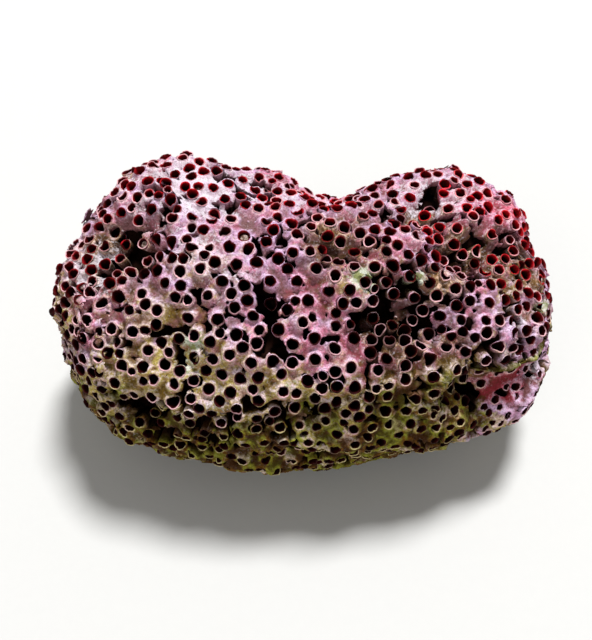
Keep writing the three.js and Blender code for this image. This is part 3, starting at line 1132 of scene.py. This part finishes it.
def clip(triangles, value, count):
    """Cuts triangles along the line where the value is 0 and keeps the part below it.
    Returns the triangles and, for each new point, its two ends and the share of the second."""
    above = value[triangles] > 0
    number = above.sum(axis=1)
    turned = {}
    for amount in (1, 2):
        part = triangles[number == amount]
        lone = above[number == amount] == (amount == 1)
        turn = (lone.argmax(axis=1)[:, None] + np.arange(3)) % 3
        turned[amount] = np.take_along_axis(part, turn, axis=1)
    one, two = turned[1], turned[2]
    ends = np.concatenate([one[:, [0, 1]], one[:, [0, 2]], two[:, [0, 1]], two[:, [0, 2]]])
    pairs, place = np.unique(np.sort(ends, axis=1), axis=0, return_inverse=True)
    place = place.reshape(-1) + count
    one_b, one_c, two_b, two_c = np.split(place, np.cumsum([len(one), len(one), len(two)]))
    pieces = [
        triangles[number == 0],
        np.stack([one_b, one[:, 1], one[:, 2]], axis=1),
        np.stack([one_b, one[:, 2], one_c], axis=1),
        np.stack([two[:, 0], two_b, two_c], axis=1),
    ]
    share = value[pairs[:, 0]] / (value[pairs[:, 0]] - value[pairs[:, 1]])
    return np.concatenate(pieces), pairs, np.clip(share, *CLIP_SHARE)


def connected(triangles, count):
    """A number for each vertex that is the same for all vertices joined to it."""
    edges = edges_of(triangles)
    label = np.arange(count)
    while True:
        before = label.copy()
        low = np.minimum(label[edges[:, 0]], label[edges[:, 1]])
        np.minimum.at(label, edges[:, 0], low)
        np.minimum.at(label, edges[:, 1], low)
        label = label[label]
        if (label == before).all():
            return label


WALL_POINT, FREE_POINT, EDGE_POINT = range(3)


def crust_points(pipes):
    """Points for the crust: round each pipe, round its collar, between them, and at the cut."""
    walls = ring_on_crust(pipes, WALL_OVERLAP)
    collars = np.concatenate([ring_on_crust(pipes, extra) for extra in COLLAR_RINGS])
    near, apart, _, _ = nearest_pipes(pipes, collars, 4)
    own = near == np.tile(np.repeat(np.arange(len(pipes)), SIDES), len(COLLAR_RINGS))[:, None]
    clear = np.where(own, 9, apart - pipes.radius[near]).min(axis=1)
    collars = collars[(clear > 0.1) & (collars[:, 2] > LOWEST_POINT)]
    collars = collars[spread_out(collars, COLLAR_GRAIN)]
    grains = crust.scatter(GRAIN_TRIES)
    grains = grains[grains[:, 2] > LOWEST_POINT + 0.05]
    near, apart, _, _ = nearest_pipes(pipes, grains, 4)
    clear = (apart - pipes.radius[near]).min(axis=1)
    grains = grains[clear > COLLAR_RINGS[-1] + COLLAR_GRAIN]
    grains = grains[spread_out(grains, CRUST_GRAIN)]
    groups = [walls, np.concatenate([collars, grains]), base_outline()]
    kind = np.repeat([WALL_POINT, FREE_POINT, EDGE_POINT], [len(g) for g in groups])
    return np.concatenate(groups), kind


def crust_triangles(pipes, points, kind):
    """Triangles between the crust's points, without those that would close a pipe or the cut."""
    edge_count = np.count_nonzero(kind == EDGE_POINT)
    triangles = between_rings(flatten(points), len(pipes), edge_count, True)
    near, apart, _, _ = nearest_pipes(pipes, points[triangles].mean(axis=1), 2)
    triangles = triangles[(apart > 0.85 * pipes.radius[near]).all(axis=1)]
    return turned_outward(triangles, points, points[triangles[:, 0]] - CENTRE)


def collar_lift(pipes, points):
    """How far each point is drawn up towards the pipes near it in millimetres and as a share, how
    far away they are, and which pipe draws it most."""
    near, apart, along, angle = nearest_pipes(pipes, points, 4)
    away = np.maximum(apart - pipes.reach(near, angle), 0)
    rest = pipes.rise[near] - along
    climb = np.minimum(rest * pipes.collar[near], rest - pipes.rim_loss(near, angle) - 0.05)
    share = np.exp(-((away / COLLAR_REACH) ** COLLAR_FADE))
    lifts = np.clip(climb, 0, MOST_CLIMB) * share
    best = lifts.argmax(axis=1)
    rows = np.arange(len(points))
    raised = (lifts**3).sum(axis=1) ** (1 / 3)
    raised = np.where(away.min(axis=1) < 0.1, lifts[rows, best], raised)
    return raised, share.max(axis=1), away.min(axis=1), near[rows, best]


def shape_crust(pipes, points, kind, triangles):
    """Moves the crust's points to their level, with collars up the pipes, grain and gaps."""
    directions = unit(points - CENTRE)
    _, normal = crust.at(directions)
    held = kind != FREE_POINT
    raised, share, away, best = collar_lift(pipes, points)
    axis, pale = pipes.axis[best], pipes.pale[best]
    lean = unit(normal + (axis - normal) * bell(away, COLLAR_LEAN)[:, None])
    value = gap_value(points, directions, away)
    value = np.where(points[:, 2] < WHOLE_BELOW, -1, value)
    value = np.where(np.abs(value) < 1e-6, -1e-6, value)
    grain = layered(points, GRAIN) - GAP_SAG * np.exp(-np.abs(value) / SAG_REACH)
    grain = grain * smoothstep(0, GRAIN_CLEAR, away)
    ease = smoothstep(0, CUT_EASE, points[:, 2])
    outer = points + lean * (raised * ease)[:, None] + normal * (grain * ease)[:, None]
    inner = points - lean * (CRUST_THICKNESS + layered(points, INNER_GRAIN))[:, None]
    outer[:, 2] = np.where(kind == EDGE_POINT, 0, np.maximum(outer[:, 2], 0.02))
    inner[:, 2] = np.maximum(inner[:, 2], LOWEST_POINT)
    triangles, pairs, part = clip(triangles, value, len(points))

    def extended(x):
        weight = part if x.ndim == 1 else part[:, None]
        return np.concatenate([x, x[pairs[:, 0]] * (1 - weight) + x[pairs[:, 1]] * weight])

    held = np.concatenate([held, np.zeros(len(pairs), bool)])
    label = connected(triangles, len(held))
    anchored = np.unique(label[held & np.isin(np.arange(len(held)), triangles)])
    triangles = triangles[np.isin(label[triangles[:, 0]], anchored)]
    wear = bell(away, WORN_COLLAR) * np.clip(raised / WORN_HEIGHT, 0, 1) * pale
    return extended(outer), extended(inner), extended(share), extended(wear), triangles


def shell_faces(triangles, count):
    """The faces of a closed shell: outer, inner and the walls along every free edge."""
    directed = np.concatenate([triangles[:, [0, 1]], triangles[:, [1, 2]], triangles[:, [2, 0]]])
    code = directed[:, 0] * count + directed[:, 1]
    back = directed[:, 1] * count + directed[:, 0]
    free = directed[~np.isin(code, back)]
    walls = np.stack([free[:, 1], free[:, 0], free[:, 0] + count, free[:, 1] + count], axis=1)
    return triangles, triangles[:, ::-1] + count, walls


def thick_mesh(name, outer, inner, lift, wear, triangles, materials, normals=None):
    """A closed shell between an outer and an inner face."""
    used, place = np.unique(triangles, return_inverse=True)
    faces = shell_faces(place.reshape(-1, 3), len(used))
    points = np.concatenate([outer[used], inner[used]])
    lift, wear = (np.concatenate([x[used], x[used] * 0]) for x in (lift, wear))
    if normals is not None:
        normals = np.concatenate([normals[used], normals[used + len(outer)]])
    return write_mesh(name, points, faces, materials, None, lift, wear, normals)


def make_crust(pipes, material):
    """The crust, in three pieces that share the normals of the whole."""
    points, kind = crust_points(pipes)
    triangles = crust_triangles(pipes, points, kind)
    outer, inner, lift, wear, triangles = shape_crust(pipes, points, kind, triangles)
    top, bottom, walls = shell_faces(triangles, len(outer))
    whole = np.concatenate([top, bottom, halved(walls)])
    normals = vertex_normals(np.concatenate([outer, inner]), whole)
    make_crumbs(outer[np.unique(triangles)], lift[np.unique(triangles)], material)
    group = np.digitize(outer[triangles].mean(axis=1)[:, 0], GROUP_EDGES)
    for number, name in enumerate(GROUPS):
        part = triangles[group == number]
        thick_mesh("crust_" + name, outer, inner, lift, wear, part, [material], normals)


def make_crumbs(places, lift, material):
    """Crumbs and sand grains stuck to the crust, between the collars."""
    masks = stain_masks(places)
    chance = (lift < CRUMB_ROOM) * (places[:, 2] > 1.5) * (0.1 + masks["dust"] + masks["algae"])
    chosen = rng.choice(len(places), CRUMBS, replace=False, p=chance / chance.sum())
    ball, triangles = round_mesh(2)
    size = rng.uniform(*CRUMB_RADIUS, (CRUMBS, 1, 1)) * rng.uniform(0.6, 1.3, (CRUMBS, 1, 3))
    bumpy = 1 + layered((ball[None] * 1.4 + chosen[:, None, None]).reshape(-1, 3), CRUMB_BUMPS)
    points = places[chosen][:, None, :] + ball[None] * size * bumpy.reshape(CRUMBS, -1, 1)
    faces = [repeated(triangles, CRUMBS, len(ball))]
    height = np.repeat(rng.uniform(0.2, 1.0, CRUMBS), len(ball))
    return write_mesh("crumbs", points.reshape(-1, 3), faces, [material], None, height, height * 0.2)


# The platform below.
def lower_platform(material):
    """The next platform down and what it rests on, as one closed lump inside the pipes."""
    directions, triangles = round_mesh(PLATFORM_STEPS)
    surface, normal = skin.at(directions)
    deep = PLATFORM_DEPTH + layered(surface, PLATFORM_HUMPS) + added_up(directions, DEEPER)
    points = surface - normal * deep[:, None]
    points[:, 2] = np.maximum(points[:, 2], LOWEST_PLATFORM)
    return write_mesh("lower_platform", points, [triangles], [material])


# Broken shards.
def shard(azimuth, elevation, heading, length, arc, height, roll, pitch):
    """A curved flake of a broken pipe, as points of its outer and inner face. The pitch stands it
    up from the crust."""
    d = direction([azimuth], [elevation])
    surface, normal = skin.at(d)
    level = crust_level(surface, d)[0]
    (u,), (v,) = cross_directions(normal)
    turn, tip, rise = (math.radians(x) for x in (heading, roll, pitch))
    along = u * math.cos(turn) + v * math.sin(turn)
    out = normal[0] * math.cos(tip) + np.cross(normal[0], along) * math.sin(tip)
    along, out = (
        along * math.cos(rise) + out * math.sin(rise),
        out * math.cos(rise) - along * math.sin(rise),
    )
    side = np.cross(out, along)
    middle = surface[0] + normal[0] * (height - level) - out * SHARD_RADIUS * 0.6
    i, j = (x.ravel()[:, None] for x in np.indices((SHARD_STEPS[0] + 1, SHARD_STEPS[1] + 1)))
    angle = np.radians(arc) * (j / SHARD_STEPS[1] - 0.5)
    jagged = SHARD_JAG * np.sin(3.1 * j + azimuth) * np.where(i % SHARD_STEPS[0] == 0, 1, 0.3)
    run = middle + along * (length * (i / SHARD_STEPS[0] - 0.5) + jagged)
    uneven = 1 + 0.09 * np.sin(i + 1.7 * j) + 0.07 * np.sin(2.3 * i + azimuth)
    bent = (out * np.cos(angle) + side * np.sin(angle)) * uneven
    return run + bent * SHARD_RADIUS, run + bent * (SHARD_RADIUS - SHARD_THICKNESS)


def make_shards(material):
    """The broken flakes that lie on the crust, in one piece."""
    rows, columns = SHARD_STEPS[0] + 1, SHARD_STEPS[1] + 1
    corner = np.arange(rows * columns).reshape(rows, columns)[:-1, :-1].ravel()
    grid = halved(np.stack([corner, corner + columns, corner + columns + 1, corner + 1], axis=1))
    outer, inner, triangles = [], [], []
    for number, flake in enumerate(SHARDS):
        top, under = shard(*flake)
        facing = dots(face_normals(top, grid), top[grid[:, 0]] - under[grid[:, 0]]).sum() > 0
        triangles.append((grid if facing else grid[:, ::-1]) + number * rows * columns)
        outer.append(top)
        inner.append(under)
    outer, inner = np.concatenate(outer), np.concatenate(inner)
    lift = np.full(len(outer), 0.8)
    return thick_mesh("shards", outer, inner, lift, lift * 0.4, np.concatenate(triangles), [material])


# The cut underside.
def cut_base(materials):
    """The flat cut with the pipes that it goes through: a plate with a short cup up each pipe."""
    edge = base_outline()
    middle = edge[:, :2].mean(axis=0)

    def turn_and_reach(points):
        x, y = (points[:, :2] - middle).T
        return np.arctan2(y, x), np.hypot(x, y)

    def inside_by(points):
        turn, reach = turn_and_reach(points)
        return np.interp(turn, *turn_and_reach(edge), period=2 * np.pi) - reach

    tries = np.zeros((CUT_TRIES, 3))
    tries[:, :2] = rng.uniform(edge[:, :2].min(axis=0), edge[:, :2].max(axis=0), (CUT_TRIES, 2))
    tries = tries[inside_by(tries) > CUT_MARGIN]
    centres = tries[spread_out(tries, CUT_SPACING)]
    radius = rng.uniform(*CUT_RADIUS, len(centres))
    rings = centres[:, None, :] + CIRCLE[None] * radius[:, None, None]
    loose = tries[spread_out(tries, CUT_GRAIN)]
    gap = np.linalg.norm(loose[:, None, :] - centres[None], axis=2).min(axis=1)
    points = np.concatenate([rings.reshape(-1, 3), loose[gap > CUT_CLEAR], edge])
    triangles = between_rings(points[:, :2], len(centres), len(edge), False)
    triangles = triangles[inside_by(points[triangles].mean(axis=1)) >= -0.05]
    triangles = turned_outward(triangles, points, np.broadcast_to([0, 0, -1], triangles.shape))
    inner = points + [0, 0, CUT_THICKNESS]
    inner[-len(edge) :, :2] = middle + (edge[:, :2] - middle) * CUT_TAPER
    lift = np.full(len(points), 0.2)
    base_cups(centres, radius + 0.02, materials[1])
    return thick_mesh("cut_base", points, inner, lift, lift * 0, triangles, materials[:1])


def base_cups(centres, radius, material):
    """Short cups, open downwards, that line the cut pipes."""
    outer, inner = CUP_HEIGHTS
    profile = [(1.0, 0.02), (1.14, 0.02), (1.1, outer), (0.9, inner)]
    rings = [centres[:, None] + CIRCLE * (radius[:, None, None] * r) + [0, 0, z] for r, z in profile]
    ends = [centres + [0, 0, z] for z in CUP_HEIGHTS]
    pairs = [(1, 0), (2, 1), (0, 3)]
    points, faces = cups(np.stack(rings, axis=1), ends, pairs, [(2, False), (3, True)])
    return write_mesh("cut_pipes", points, faces, [material])


# Materials.
class Paint:
    """A short way to write a material's nodes."""

    def __init__(self, name):
        self.material = bpy.data.materials.new(name)
        self.material.use_nodes = True
        self.tree = self.material.node_tree
        self.shader = self.tree.nodes["Principled BSDF"]
        self.place = self.add("ShaderNodeTexCoord").outputs["Object"]

    def add(self, kind, inputs=(), **values):
        """A node with these values, and with numbers or other nodes fed into its inputs."""
        node = self.tree.nodes.new(kind)
        for key, value in values.items():
            setattr(node, key, value)
        self.feed(node, dict(inputs))
        return node

    def feed(self, node, inputs):
        for key, value in inputs.items():
            if isinstance(value, bpy.types.NodeSocket):
                self.tree.links.new(value, node.inputs[key])
            else:
                node.inputs[key].default_value = value

    def noise(self, wavelength, detail=3.0, roughness=0.55, distortion=0.0):
        """Noise from 0 to 1 with a wavelength in millimetres."""
        inputs = {"Vector": self.place, "Scale": 1 / (wavelength * MM), "Detail": detail}
        inputs.update({"Roughness": roughness, "Distortion": distortion})
        return self.add("ShaderNodeTexNoise", inputs).outputs["Fac"]

    def math(self, operation, *values):
        return self.add("ShaderNodeMath", enumerate(values), operation=operation).outputs[0]

    def times(self, total, *others):
        for other in others:
            total = self.math("MULTIPLY", total, other)
        return total

    def total(self, *parts):
        """Adds up values, each of them times a number."""
        total = 0.0
        for value, factor in parts:
            total = self.math("MULTIPLY_ADD", value, factor, total)
        return total

    def span(self, value, low, high, start=0.0, end=1.0):
        """Runs smoothly from start to end as the value goes from low to high."""
        inputs = {"Value": value, "From Min": low, "From Max": high, "To Min": start, "To Max": end}
        return self.add("ShaderNodeMapRange", inputs, interpolation_type="SMOOTHSTEP").outputs["Result"]

    def mix(self, share, a, b):
        inputs = {0: share, 6: a, 7: b}
        return self.add("ShaderNodeMix", inputs, data_type="RGBA", clamp_result=True).outputs[2]

    def facing_up(self):
        normal = self.add("ShaderNodeNewGeometry").outputs["Normal"]
        return self.add("ShaderNodeSeparateXYZ", {0: normal}).outputs["Z"]

    def mask(self, name):
        return self.add("ShaderNodeAttribute", attribute_name=name).outputs["Fac"]

    def bump(self, *layers):
        """Adds bumps, each given as a height from 0 to 1 and its depth in millimetres."""
        inputs = {"Strength": 1.0}
        for height, depth in layers:
            inputs.update({"Height": height, "Distance": depth * MM})
            inputs["Normal"] = self.add("ShaderNodeBump", inputs).outputs["Normal"]
        self.feed(self.shader, {"Normal": inputs["Normal"]})

    def finish(self, colour, roughness):
        values = {"Base Color": colour, "Roughness": roughness, "Specular IOR Level": SHEEN}
        self.feed(self.shader, values)
        return self.material


# Each stain's colour in the valleys between pipes, on the collars and on the rims.
COLOURS = {
    "lilac": [(0.20, 0.10, 0.11, 1), (0.60, 0.355, 0.57, 1), (0.84, 0.62, 0.69, 1)],
    "rose": [(0.24, 0.05, 0.07, 1), (0.71, 0.23, 0.37, 1), (0.89, 0.51, 0.56, 1)],
    "crimson": [(0.26, 0.022, 0.035, 1), (0.72, 0.14, 0.22, 1), (0.86, 0.42, 0.50, 1)],
    "orchid": [(0.22, 0.080, 0.085, 1), (0.76, 0.40, 0.64, 1), (0.90, 0.66, 0.72, 1)],
    "khaki": [(0.15, 0.085, 0.012, 1), (0.53, 0.42, 0.105, 1), (0.90, 0.68, 0.54, 1)],
    "brown": [(0.050, 0.022, 0.006, 1), (0.34, 0.185, 0.075, 1), (0.78, 0.52, 0.38, 1)],
    "cream": [(0.30, 0.17, 0.11, 1), (0.80, 0.57, 0.49, 1), (0.92, 0.74, 0.68, 1)],
    "umber": [(0.040, 0.012, 0.001, 1), (0.22, 0.095, 0.008, 1), (0.68, 0.46, 0.27, 1)],
    "olive": [(0.058, 0.045, 0.002, 1), (0.31, 0.315, 0.030, 1), (0.70, 0.58, 0.28, 1)],
}
SHEEN = 0.06
# Pale lilac on the sides facing the light: partly dust, partly painted highlight.
PALE_DUST_AND_HIGHLIGHT = (0.80, 0.66, 0.86, 1)
# Painted shade: dusky rose, or brown where khaki, for the sides facing away from the light.
DUSKY_SHADE = [(0.50, 0.23, 0.27, 1), (0.43, 0.19, 0.12, 1)]
DUST = (0.80, 0.74, 0.81, 1)
ALGAE = [(0.22, 0.27, 0.09, 1), (0.62, 0.68, 0.56, 1)]
DIRT = (0.07, 0.038, 0.018, 1)
# Painted light: the bright red of pipe insides where light falls in.
LIT_RED = [(0.16, 0.003, 0.005, 1), (0.85, 0.012, 0.024, 1)]
# The pipes' insides: dark maroon, painted near black for the shade inside them.
SHADED_MAROON = [(0.010, 0.0008, 0.0008, 1), (0.042, 0.0035, 0.0035, 1)]
FILL = [(0.10, 0.05, 0.03, 1), (0.50, 0.40, 0.36, 1)]
# Painted shade: near black for what lies deep under the crust.
DEEP_SHADE = [(0.006, 0.002, 0.001, 1), (0.024, 0.008, 0.005, 1)]
FLOOR_COLOURS = [(0.58, 0.58, 0.57, 1), (0.5, 0.5, 0.5, 1)]

# The three noises that break up the colours, from fine to broad and back: wavelength, detail and
# roughness.
COLOUR_NOISE = [(0.6, 4, 0.7), (2.2, 3, 0.6), (1.3, 4, 0.6)]

# How each stain ends: how much it is frayed, how much the hollows add, and the mask's values
# where it begins and is full.
STAIN_EDGES = {
    "khaki": (1.6, 0, 0.2, 0.8),
    "orchid": (1.2, 0, 0.3, 0.8),
    "crimson": (1.0, 0, 0.3, 0.75),
    "brown": (1.0, -0.5, 0.25, 0.75),
}


def coral_colour(paint):
    """The coral's own pinks, stained olive and brown low down and in the hollows, the olive partly
    painted green reflection. Sides facing the light get painted highlight, sides facing away
    painted shade, and pipe walls buried under the crust are painted near black as shade.
    """
    uneven, broad, broken = (paint.math("SUBTRACT", paint.noise(*n), 0.5) for n in COLOUR_NOISE)
    olive, worn, under = (paint.mask(name) for name in ("olive", "wear", "under"))
    # Where the crust lies deep it goes towards the darker valley colour and browner: partly dirt,
    # partly painted shade.
    sunk = paint.total((paint.mask("sunk"), -0.5), (olive, -0.2))
    lift = paint.total((paint.mask("lift"), 1), (uneven, 0.9), (broad, 1), (sunk, 1))
    lift = paint.span(lift, 0.12, 0.9)
    dusty = paint.times(paint.mask("dust"), worn)
    wear = paint.total((worn, 1), (uneven, 1.2), (dusty, 0.6), (olive, -0.25))
    rosy = paint.span(paint.noise(2.4, 4, 0.6), 0.3, 0.7, -0.45, 0.6)
    shares = {"rose": paint.span(paint.total((paint.mask("rose"), 1), (rosy, 1)), 0, 0.7)}
    for name, (fraying, deeper, low, high) in STAIN_EDGES.items():
        edge = paint.total((paint.mask(name), 1), (broken, fraying), (sunk, deeper))
        shares[name] = paint.span(edge, low, high)
    stained = paint.total((olive, 1), (broken, 1))
    green = paint.span(paint.total((broad, 1), (broken, 0.5), (sunk, 0.4)), -0.16, 0.04)
    cream = paint.total((paint.noise(2.8, 4, 0.6), 1), (uneven, 0.3), (sunk, 0.15))
    cream = paint.times(paint.span(cream, 0.56, 0.62), paint.span(paint.mask("khaki"), 0.1, 0.6))
    cream = paint.times(cream, paint.span(stained, 0.3, 0.9, 1, 0.25))
    levels = []
    for level in range(3):
        colour = COLOURS["lilac"][level]
        for name, share in shares.items():
            colour = paint.mix(share, colour, COLOURS[name][level])
        # Olive and umber low down: partly growth, partly painted green reflection.
        stain = paint.mix(green, COLOURS["umber"][level], COLOURS["olive"][level])
        covered = paint.span(stained, 0.12 + 0.2 * level, 0.42 + 0.24 * level)
        colour = paint.mix(covered, colour, stain)
        levels.append(paint.mix(cream, colour, COLOURS["cream"][level]))
    colour = paint.mix(lift, levels[0], levels[1])
    # Painted highlight and dust: clean raised crust that faces the light side goes towards pale lilac.
    pale = paint.times(paint.span(under, -0.5, 0.05, 1, 0), paint.span(uneven, -0.2, 0.1))
    clean = paint.math("SUBTRACT", 1, paint.math("MAXIMUM", olive, paint.mask("brown")))
    clean = paint.math("MAXIMUM", clean, 0)
    colour = paint.mix(paint.times(pale, clean, lift, 0.8), colour, PALE_DUST_AND_HIGHLIGHT)
    # Painted shade: clean sides that face away from the light go towards the dusky colours.
    dull = paint.math("SUBTRACT", 1, paint.math("MAXIMUM", shares["orchid"], shares["crimson"]))
    shaded = paint.times(paint.span(under, 0.05, 0.5), clean, dull, 0.62)
    colour = paint.mix(shaded, colour, paint.mix(shares["khaki"], *DUSKY_SHADE))
    colour = paint.mix(paint.span(wear, 0.25, 0.95), colour, levels[2])
    # Painted shade: pipe walls buried under the crust are painted near black.
    return paint.mix(paint.span(paint.mask("lift"), -0.6, 0, 1, 0), colour, DEEP_SHADE[1])


def weathered(paint, colour, dust_share):
    """Adds white dust, algae and dark specks."""
    lift, olive = paint.mask("lift"), paint.mask("olive")
    grit = paint.noise(0.38, 3, 0.6)
    speckle = paint.math("SUBTRACT", paint.noise(0.7, 5, 0.75, 0.3), 0.5)
    colour = paint.mix(paint.span(paint.noise(0.9, 5, 0.7), 0.55, 0.66, 0, 0.5), colour, DIRT)
    colour = paint.mix(paint.span(grit, 0.36, 0.46, 0.45, 0), colour, DIRT)
    bright = paint.times(paint.span(grit, 0.55, 0.66, 0, 0.4), paint.span(lift, 0, 0.6))
    bright = paint.times(bright, paint.span(olive, 0.2, 0.8, 1, 0.15))
    colour = paint.mix(bright, colour, DUST)
    up = paint.span(paint.facing_up(), -0.2, 0.7, 0.3, 1)
    dusty = paint.total((paint.times(paint.mask("dust"), up), 1), (speckle, 2.2))
    dusty = paint.times(paint.span(dusty, 0.4, 0.85), paint.span(lift, 0.2, 0.9, 1, 0.6), dust_share)
    colour = paint.mix(dusty, colour, DUST)
    green = paint.span(paint.total((paint.mask("algae"), 1), (speckle, 2.2)), 0.4, 0.75, 0, 0.85)
    algae = paint.mix(paint.span(paint.noise(1.1, 3), 0.42, 0.56), *ALGAE)
    return paint.mix(green, colour, algae)


def crust_material():
    paint = Paint("coral_crust")
    colour = weathered(paint, coral_colour(paint), 0.85)
    fine = paint.noise(0.24, 4, 0.75)
    colour = paint.mix(paint.span(fine, 0.34, 0.56, 0.4, 0), colour, DIRT)
    paint.bump((paint.noise(0.7, 4, 0.65), 0.24), (fine, 0.1))
    return paint.finish(colour, paint.span(fine, 0.3, 0.7, 0.92, 0.7))


def pipe_material():
    paint = Paint("pipe_wall")
    colour = weathered(paint, coral_colour(paint), 0.6)
    fine = paint.noise(0.2, 4, 0.7)
    colour = paint.mix(paint.span(fine, 0.35, 0.65, 0.3, 0), colour, DIRT)
    paint.bump((paint.noise(0.5, 2), 0.06), (fine, 0.05))
    return paint.finish(colour, paint.span(fine, 0.3, 0.7, 0.85, 0.62))


def inside_material():
    paint = Paint("pipe_inside")
    mottled = paint.span(paint.noise(1.3, 4, 0.6), 0.38, 0.62)
    # Painted light: in the lit areas the insides go bright red, elsewhere dark maroon.
    lit = paint.times(paint.mask("lit"), paint.span(paint.noise(3.5, 2), 0.4, 0.55, 0.35, 1.0))
    colour = paint.mix(lit, paint.mix(mottled, *SHADED_MAROON), paint.mix(mottled, *LIT_RED))
    # Painted shade: deeper down the bore the inside darkens to near black.
    colour = paint.mix(paint.span(paint.mask("lift"), -0.3, 0.85, 0.92, 0), colour, SHADED_MAROON[0])
    rim = paint.mix(paint.mask("olive"), COLOURS["rose"][2], COLOURS["olive"][2])
    colour = paint.mix(paint.span(paint.mask("wear"), 0.3, 1.0), colour, rim)
    paint.bump((paint.noise(0.3, 3), 0.04))
    return paint.finish(colour, paint.span(mottled, 0, 1, 0.7, 0.5))


def fill_material():
    paint = Paint("pipe_fill")
    grain = paint.noise(0.35, 4, 0.7)
    colour = paint.mix(paint.span(grain, 0.4, 0.62), *FILL)
    paint.bump((grain, 0.12))
    return paint.finish(colour, paint.span(grain, 0.3, 0.7, 0.95, 0.8))


# The platform below is painted near black, as painted shade.
def deep_shade_material():
    paint = Paint("lower_platform")
    fine = paint.noise(0.5, 4, 0.7)
    paint.bump((fine, 0.15))
    colour = paint.mix(paint.span(paint.noise(2.2, 3), 0.4, 0.62), *DEEP_SHADE)
    return paint.finish(colour, paint.span(fine, 0.3, 0.7, 0.95, 0.8))


def floor_material():
    paint = Paint("pale_floor")
    grain = paint.noise(1.5, 3)
    paint.bump((grain, 0.02))
    return paint.finish(paint.mix(paint.span(grain, 0.3, 0.7, 0, 0.06), *FLOOR_COLOURS), 0.9)


# Stage.
def make_floor():
    mesh = bpy.data.meshes.new("floor")
    x = FLOOR_HALF_WIDTH
    mesh.from_pydata([(-x, -x, 0), (x, -x, 0), (x, x, 0), (-x, x, 0)], [], [(0, 1, 2, 3)])
    mesh.materials.append(floor_material())
    add_object("floor", mesh)


def make_camera():
    data = bpy.data.cameras.new("camera")
    data.lens = LENS_MM
    data.sensor_width = SENSOR_MM
    data.clip_start, data.clip_end = CLIP
    camera = add_object("camera", data)
    tilt = math.radians(VIEW_ELEVATION)
    looking = Vector((0, math.cos(tilt), -math.sin(tilt)))
    camera.location = (Vector(VIEW_TARGET) - looking * VIEW_DISTANCE) * MM
    camera.rotation_euler = (math.radians(90 - VIEW_ELEVATION), 0, 0)
    bpy.context.scene.camera = camera


def make_light(name, azimuth, elevation, distance, size, power, colour):
    data = bpy.data.lights.new(name, "AREA")
    data.shape = "DISK"
    data.size = size
    data.energy = power
    data.color = colour
    light = add_object(name, data)
    away = Vector(direction(azimuth, elevation))
    light.location = away * distance + Vector((0, 0, CENTRE[2] * MM))
    light.rotation_euler = away.to_track_quat("Z", "Y").to_euler()


def make_lights():
    for light in LIGHTS:
        make_light(*light)
    world = bpy.data.worlds.new("studio")
    world.use_nodes = True
    background = world.node_tree.nodes["Background"]
    background.inputs["Color"].default_value = SKY_COLOUR
    background.inputs["Strength"].default_value = SKY_STRENGTH
    bpy.context.scene.world = world
    bpy.context.scene.view_settings.view_transform = "Standard"


# Making it all.
make_camera()
make_lights()
make_floor()

solid_points, solid_triangles = read_solid(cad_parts[NODE])
floors, mouths = find_mouths(solid_points, solid_triangles)
mouth_axes = unit(mouths - solid_points[floors])
solid_points[floors] = mouths
solid_reach = solid_radius(solid_points, solid_triangles)
skin = Surface(solid_reach + swelling(round_mesh(SURFACE_STEPS)[0], solid_reach))
mouth_reach = np.linalg.norm(mouths - CENTRE, axis=1)
mouth_directions = unit(mouths - CENTRE)
mouths = mouths + mouth_directions * swelling(mouth_directions, mouth_reach)[:, None]
crust = crust_surface()
pipes = plant_pipes(mouths, mouth_axes)

crust_paint = crust_material()
pipe_paints = [pipe_material(), inside_material(), fill_material()]
group_of = np.digitize(pipes.foot[:, 0], GROUP_EDGES)
for number, name in enumerate(GROUPS):
    piece = pipe_mesh("pipes_" + name, pipes, np.nonzero(group_of == number)[0], pipe_paints)
    if number == 0:
        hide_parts(NODE)
make_crust(pipes, crust_paint)
make_shards(pipe_paints[0])
lower_platform(deep_shade_material())
cut_base([crust_paint, pipe_paints[1]])
